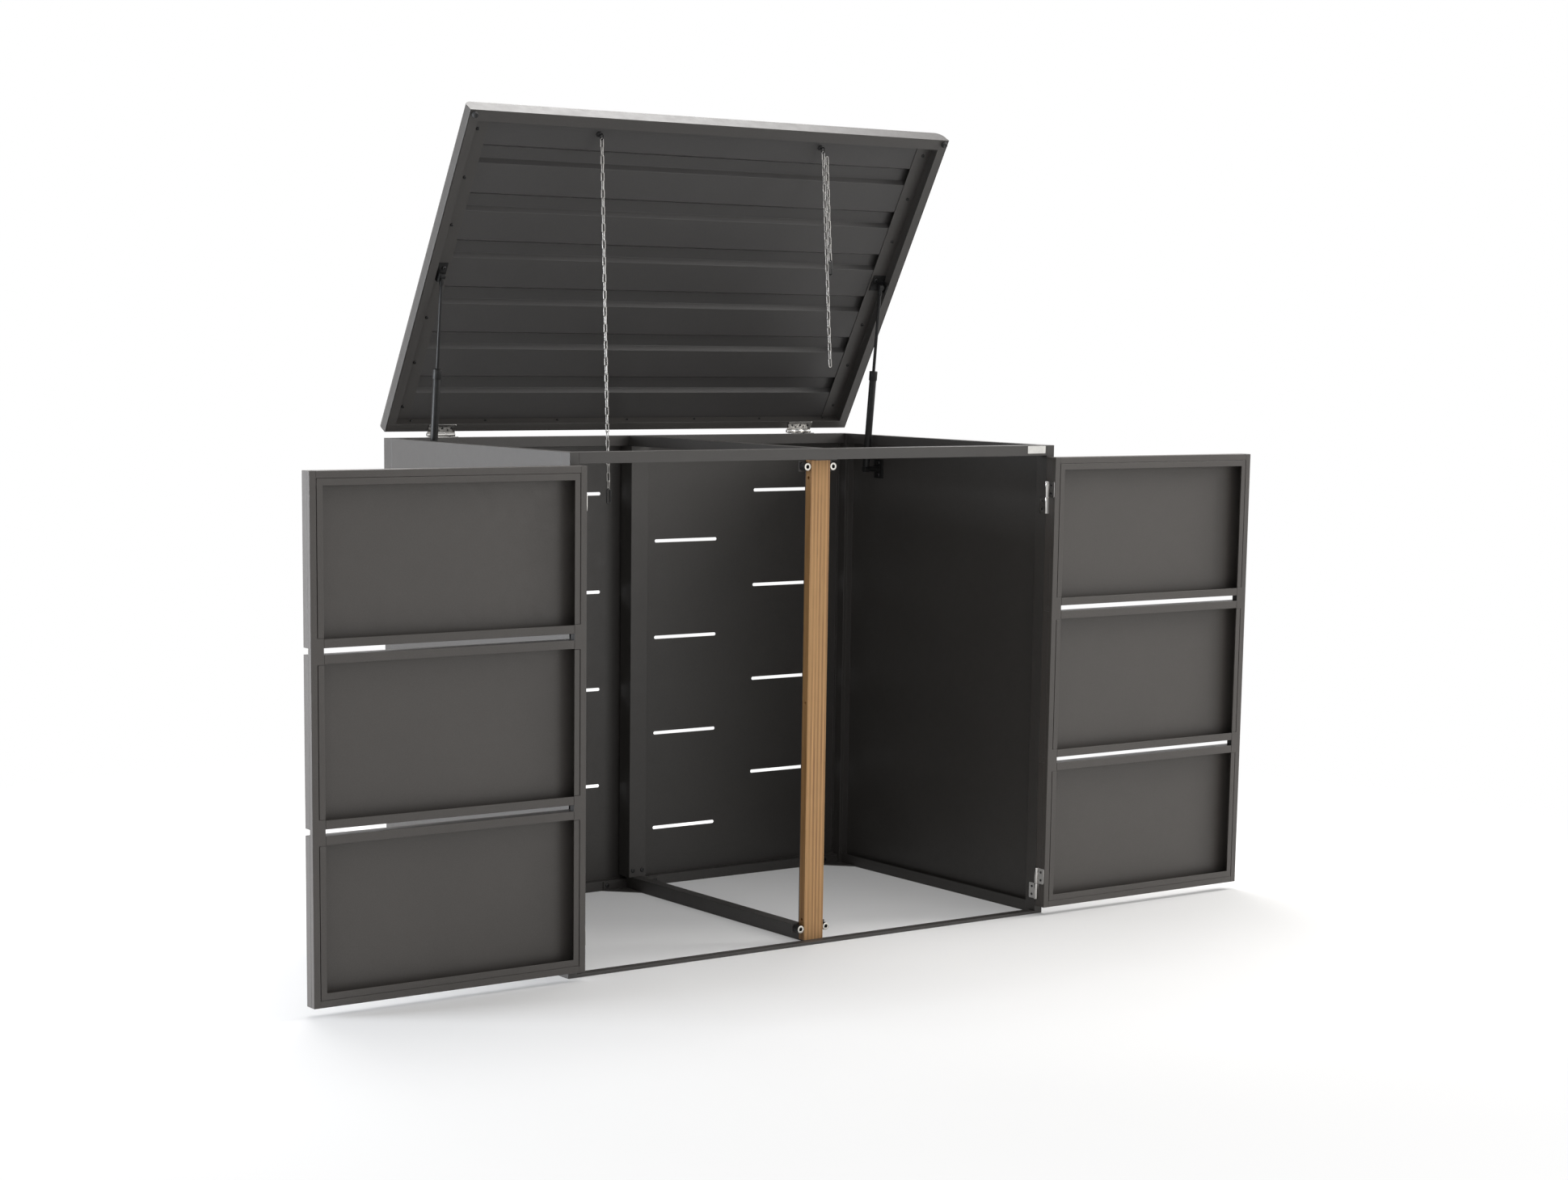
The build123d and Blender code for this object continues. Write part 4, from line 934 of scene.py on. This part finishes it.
class BINSTORE_OT_small(bpy.types.Operator):
    """Magnets, chain eyes, buffers and the bare plate on the front rail"""

    bl_idname = "binstore.small"
    bl_label = "Small fittings"
    bl_options = {"REGISTER", "UNDO"}

    def execute(self, context):
        small = context.scene.bin_store.small
        self.magnets(small)
        self.eyes(small)
        self.buffers(small)
        self.bare_plate(small)
        return {"FINISHED"}

    @staticmethod
    def magnets(small):
        """Pot magnets: a dark turned cup, a pale ring let into its rim, and a dark hole through both."""
        low, high = box("magnets")
        radius = small.magnet
        deep = high[1] - low[1]
        x = high[0] - radius
        # Each point is a radius and a height above the magnet's back.
        cup = [(0.0085, 0.0), (radius, 0.0006), (radius, deep - 0.001), (radius - 0.0003, deep - 0.0002)]
        ring = [(radius - 0.0009, deep), (0.0048, deep), (0.0043, deep - 0.0005)]
        hole = [(0.0040, deep - 0.001), (0.0040, deep - 0.0058)]
        profile = cup + ring + hole
        turns = 36
        shells = [
            lathe(profile, (side * x, high[1], z), -BACK, turns)
            for side, hand in SIDES
            for z in (low[2] + radius, high[2] - radius)
        ]
        piece = make_piece("pot_magnets", shells, "body", "magnet_ring", "magnet", "magnets")
        piece.data.materials.append(bpy.data.materials["moulded_plastic"])
        bands = np.ones(len(profile) - 1, dtype=np.int32)
        bands[len(cup) - 1 : len(cup + ring) - 1] = 0
        one = np.concatenate([np.repeat(bands, turns), [1, 1]]).astype(np.int32)
        piece.data.polygons.foreach_set("material_index", np.tile(one, len(shells)))

    @staticmethod
    def eyes(small):
        """Chain eyes: a low turned foot and a round ring of bent wire, black."""
        # Each point is a radius and a height off the lid's liner.
        foot = [(0.0072, 0.0), (0.0068, 0.0018), (0.0045, 0.0034), (0.0022, 0.0042), (0.0019, 0.0062)]
        ring = (small.eye_long, small.eye_wide, small.eye_wire)
        shells = []
        for side, hand in SIDES:
            eye = joint_place(f"chain_{hand}_swing")
            shells.append(lathe(foot, eye + small.eye_rise * LID_UP, -LID_UP, 24))
            shells.append(loop_ring(eye, LID_BACK, LID_UP, *ring, 32, 12))
        make_piece("chain_eyes", shells, "lid", "moulded_plastic", "black_plastic", "lid_eyes")

    @staticmethod
    def buffers(small):
        """Rubber buffers: a short turned cone with a dished end."""
        low, high = box("lid_buffers")
        middle = (low + high) / 2
        x = high[0] - small.buffer
        long = small.buffer_long
        # Each point is a radius and a height above the buffer's seat.
        cone = [(small.buffer, 0), (0.0073, long * 0.5), (0.0066, long * 0.85), (0.0055, long)]
        dish = [(0.003, long * 0.94), (0.0012, long * 0.8)]
        shells = []
        for side, hand in SIDES:
            foot = np.array((side * x, middle[1], middle[2])) + LID_UP * long / 2
            shells.append(lathe(cone + dish, foot, -LID_UP, 28))
        make_piece("lid_rubber_buffers", shells, "lid", "soft_rubber", "rubber", "lid_buffers")

    @staticmethod
    def bare_plate(small):
        """The bare plate at the right end of the front rail."""
        low, high = box("front_top_rail")
        back = low[1] - small.plate_gap
        top = high[2] - small.plate_below
        first = (small.plate_from, back - small.plate_thick, top - small.plate_tall)
        last = (small.plate_from + small.plate_long, back, top)
        shell = plate(first, last, 1, small.plate_corner, small.plate_edge)
        make_piece("front_rail_plate", [shell], "body", "bare_plate", "stainless")


class BINSTORE_OT_screws(bpy.types.Operator):
    """Domed screw heads with a hexagon socket, and countersunk heads"""

    bl_idname = "binstore.screws"
    bl_label = "Screw heads"
    bl_options = {"REGISTER", "UNDO"}

    def execute(self, context):
        for body in ("body", "lid", "door_left", "door_right"):
            node = f"{body}_screws"
            shells = [
                (flush_head if height < FLUSH_UNDER else pan_head)(seat, axis, radius, height)
                for seat, axis, radius, height in zip(*screw_seats(node))
            ]
            make_piece(f"{node}_heads", shells, body, "dark_steel", "screws", node)
        return {"FINISHED"}


def seen_directly(tree):
    """One where the camera, a reflection or a clear surface looks, and nothing for all other light."""
    path = add_node(tree, "ShaderNodeLightPath").outputs
    seen = worked(tree, "MAXIMUM", path["Is Camera Ray"], path["Is Glossy Ray"])
    return worked(tree, "MAXIMUM", seen, path["Is Transmission Ray"])


def run_out_to_white(tree, shader, place, stage):
    """Lets the floor run out to plain white where it is seen directly: the share of white rises
    smoothly with the distance from the store's middle, from a small share beside it to all of it."""
    reach = add_node(tree, "ShaderNodeVectorMath", operation="LENGTH", Vector=place)
    far = add_node(tree, "ShaderNodeMapRange", interpolation_type="SMOOTHSTEP", To_Min=stage.white_near)
    far.inputs["From Min"].default_value = stage.white_from
    far.inputs["From Max"].default_value = stage.white_by
    tree.links.new(reach.outputs["Value"], far.inputs["Value"])
    white = add_node(tree, "ShaderNodeEmission", Strength=1.0)
    both = add_node(tree, "ShaderNodeMixShader")
    tree.links.new(worked(tree, "MULTIPLY", seen_directly(tree), far.outputs["Result"]), both.inputs["Fac"])
    tree.links.new(shader.outputs["BSDF"], both.inputs[1])
    tree.links.new(white.outputs["Emission"], both.inputs[2])
    tree.links.new(both.outputs["Shader"], tree.nodes["Material Output"].inputs["Surface"])


def stand(thing, right, up, away, place):
    """Stands a light or the camera in its place, looking against away."""
    turned = np.column_stack([right, up, away, place])
    thing.matrix_world = Matrix(np.vstack([turned, [0, 0, 0, 1]]).tolist())


class BINSTORE_OT_stage(bpy.types.Operator):
    """Pale floor, soft studio light and the camera"""

    bl_idname = "binstore.stage"
    bl_label = "Stage"
    bl_options = {"REGISTER", "UNDO"}

    def execute(self, context):
        stage = context.scene.bin_store.stage
        self.floor(stage)
        self.sky(stage)
        for name, (place, target, size, tint) in LIGHTS.items():
            self.light(f"{name}_light", place, target, size, getattr(stage, name), tint)
        self.camera(stage)
        return {"FINISHED"}

    @staticmethod
    def floor(stage):
        """A wide round floor: a thin disc turned once round."""
        profile = [(stage.floor_reach, -stage.floor_thick), (stage.floor_reach, 0.0)]
        mesh = bpy.data.meshes.new("floor")
        fill_mesh(mesh, [lathe(profile, (0, 0, 0), UP, 96)])
        material, tree, shader, bump = new_finish("pale_floor", 0.0, 0.02, 0.0002)
        place = object_place(tree)
        cloud = noise(tree, place, 1.3, 3.0)
        base = add_node(tree, "ShaderNodeRGB").outputs[0]
        base.default_value = (*stage.floor, 1)
        shade = tinted(tree, base, scaled(tree, cloud, 0.99, 1.01))
        tree.links.new(shade, shader.inputs["Base Color"])
        tree.links.new(cloud, bump.inputs["Height"])
        shader.inputs["Roughness"].default_value = 0.75
        run_out_to_white(tree, shader, place, stage)
        mesh.materials.append(material)
        add_object("floor", mesh)

    @staticmethod
    def sky(stage):
        """White where it is seen directly, a softer fill for everything else."""
        world = bpy.data.worlds.new("studio")
        bpy.context.scene.world = world
        world.use_nodes = True
        tree = world.node_tree
        ground = tree.nodes["Background"].inputs
        tree.links.new(scaled(tree, seen_directly(tree), stage.fill, 1.0, 0.0, 1.0), ground["Strength"])
        ground["Color"].default_value = (1, 1, 1, 1)

    @staticmethod
    def light(name, place, target, size, power, tint):
        """A square soft light that faces its target."""
        lamp = bpy.data.lights.new(name, "AREA")
        lamp.size = size
        lamp.energy = power
        lamp.color = tint
        away = np.asarray(place, float) - target
        away /= np.linalg.norm(away)
        right = np.cross(BACK if abs(away[2]) > 0.9 else UP, away)
        right /= np.linalg.norm(right)
        stand(add_object(name, lamp), right, np.cross(away, right), away, place)

    @staticmethod
    def camera(stage):
        """The camera: its back points from the store to the lens, its right lies level, then it rolls."""
        lens = bpy.data.cameras.new("camera")
        lens.lens = stage.lens
        lens.sensor_width = 36.0
        lens.sensor_fit = "HORIZONTAL"
        lens.shift_y = stage.rise
        lens.clip_end = 100.0
        made = add_object("camera", lens)
        level = math.cos(stage.lift)
        away = np.array(
            (math.sin(stage.turn) * level, -math.cos(stage.turn) * level, math.sin(stage.lift))
        )
        right = np.array((math.cos(stage.turn), math.sin(stage.turn), 0.0))
        up = np.cross(away, right)
        c, s = math.cos(stage.roll), math.sin(stage.roll)
        stand(made, c * right + s * up, c * up - s * right, away, stage.place)
        bpy.context.scene.camera = made
        bpy.context.scene.view_settings.view_transform = "Standard"


OPERATORS = (
    BINSTORE_OT_coats,
    BINSTORE_OT_fittings,
    BINSTORE_OT_timber,
    BINSTORE_OT_chains,
    BINSTORE_OT_hinges,
    BINSTORE_OT_struts,
    BINSTORE_OT_small,
    BINSTORE_OT_screws,
    BINSTORE_OT_stage,
)


class BINSTORE_PT_panel(bpy.types.Panel):
    """Lists the steps of the bin store and its settings"""

    bl_idname = "BINSTORE_PT_panel"
    bl_label = "Bin store"
    bl_space_type = "VIEW_3D"
    bl_region_type = "UI"
    bl_category = "Bin store"

    def draw(self, context):
        for step in OPERATORS:
            self.layout.operator(step.bl_idname)
        settings = context.scene.bin_store
        for group in ("coat", "metal", "timber", "chain", "hinge", "strut", "small", "stage"):
            box = self.layout.box()
            box.label(text=group.capitalize())
            part = getattr(settings, group)
            for name in part.bl_rna.properties.keys():
                if name not in ("rna_type", "name"):
                    box.prop(part, name)


CLASSES = (
    CoatSettings,
    MetalSettings,
    TimberSettings,
    ChainSettings,
    HingeSettings,
    StrutSettings,
    SmallSettings,
    StageSettings,
    BinStoreSettings,
    *OPERATORS,
    BINSTORE_PT_panel,
)


def register():
    """Registers the classes and hangs the settings on the scene."""
    for kind in CLASSES:
        bpy.utils.register_class(kind)
    bpy.types.Scene.bin_store = bpy.props.PointerProperty(type=BinStoreSettings)


def unregister():
    """Takes the settings off the scene and drops the classes."""
    del bpy.types.Scene.bin_store
    for kind in reversed(CLASSES):
        bpy.utils.unregister_class(kind)


def main():
    """Runs every step in order."""
    register()
    bpy.ops.binstore.coats()
    bpy.ops.binstore.fittings()
    bpy.ops.binstore.timber()
    bpy.ops.binstore.chains()
    bpy.ops.binstore.hinges()
    bpy.ops.binstore.struts()
    bpy.ops.binstore.small()
    bpy.ops.binstore.screws()
    bpy.ops.binstore.stage()


if __name__ == "__main__":
    main()
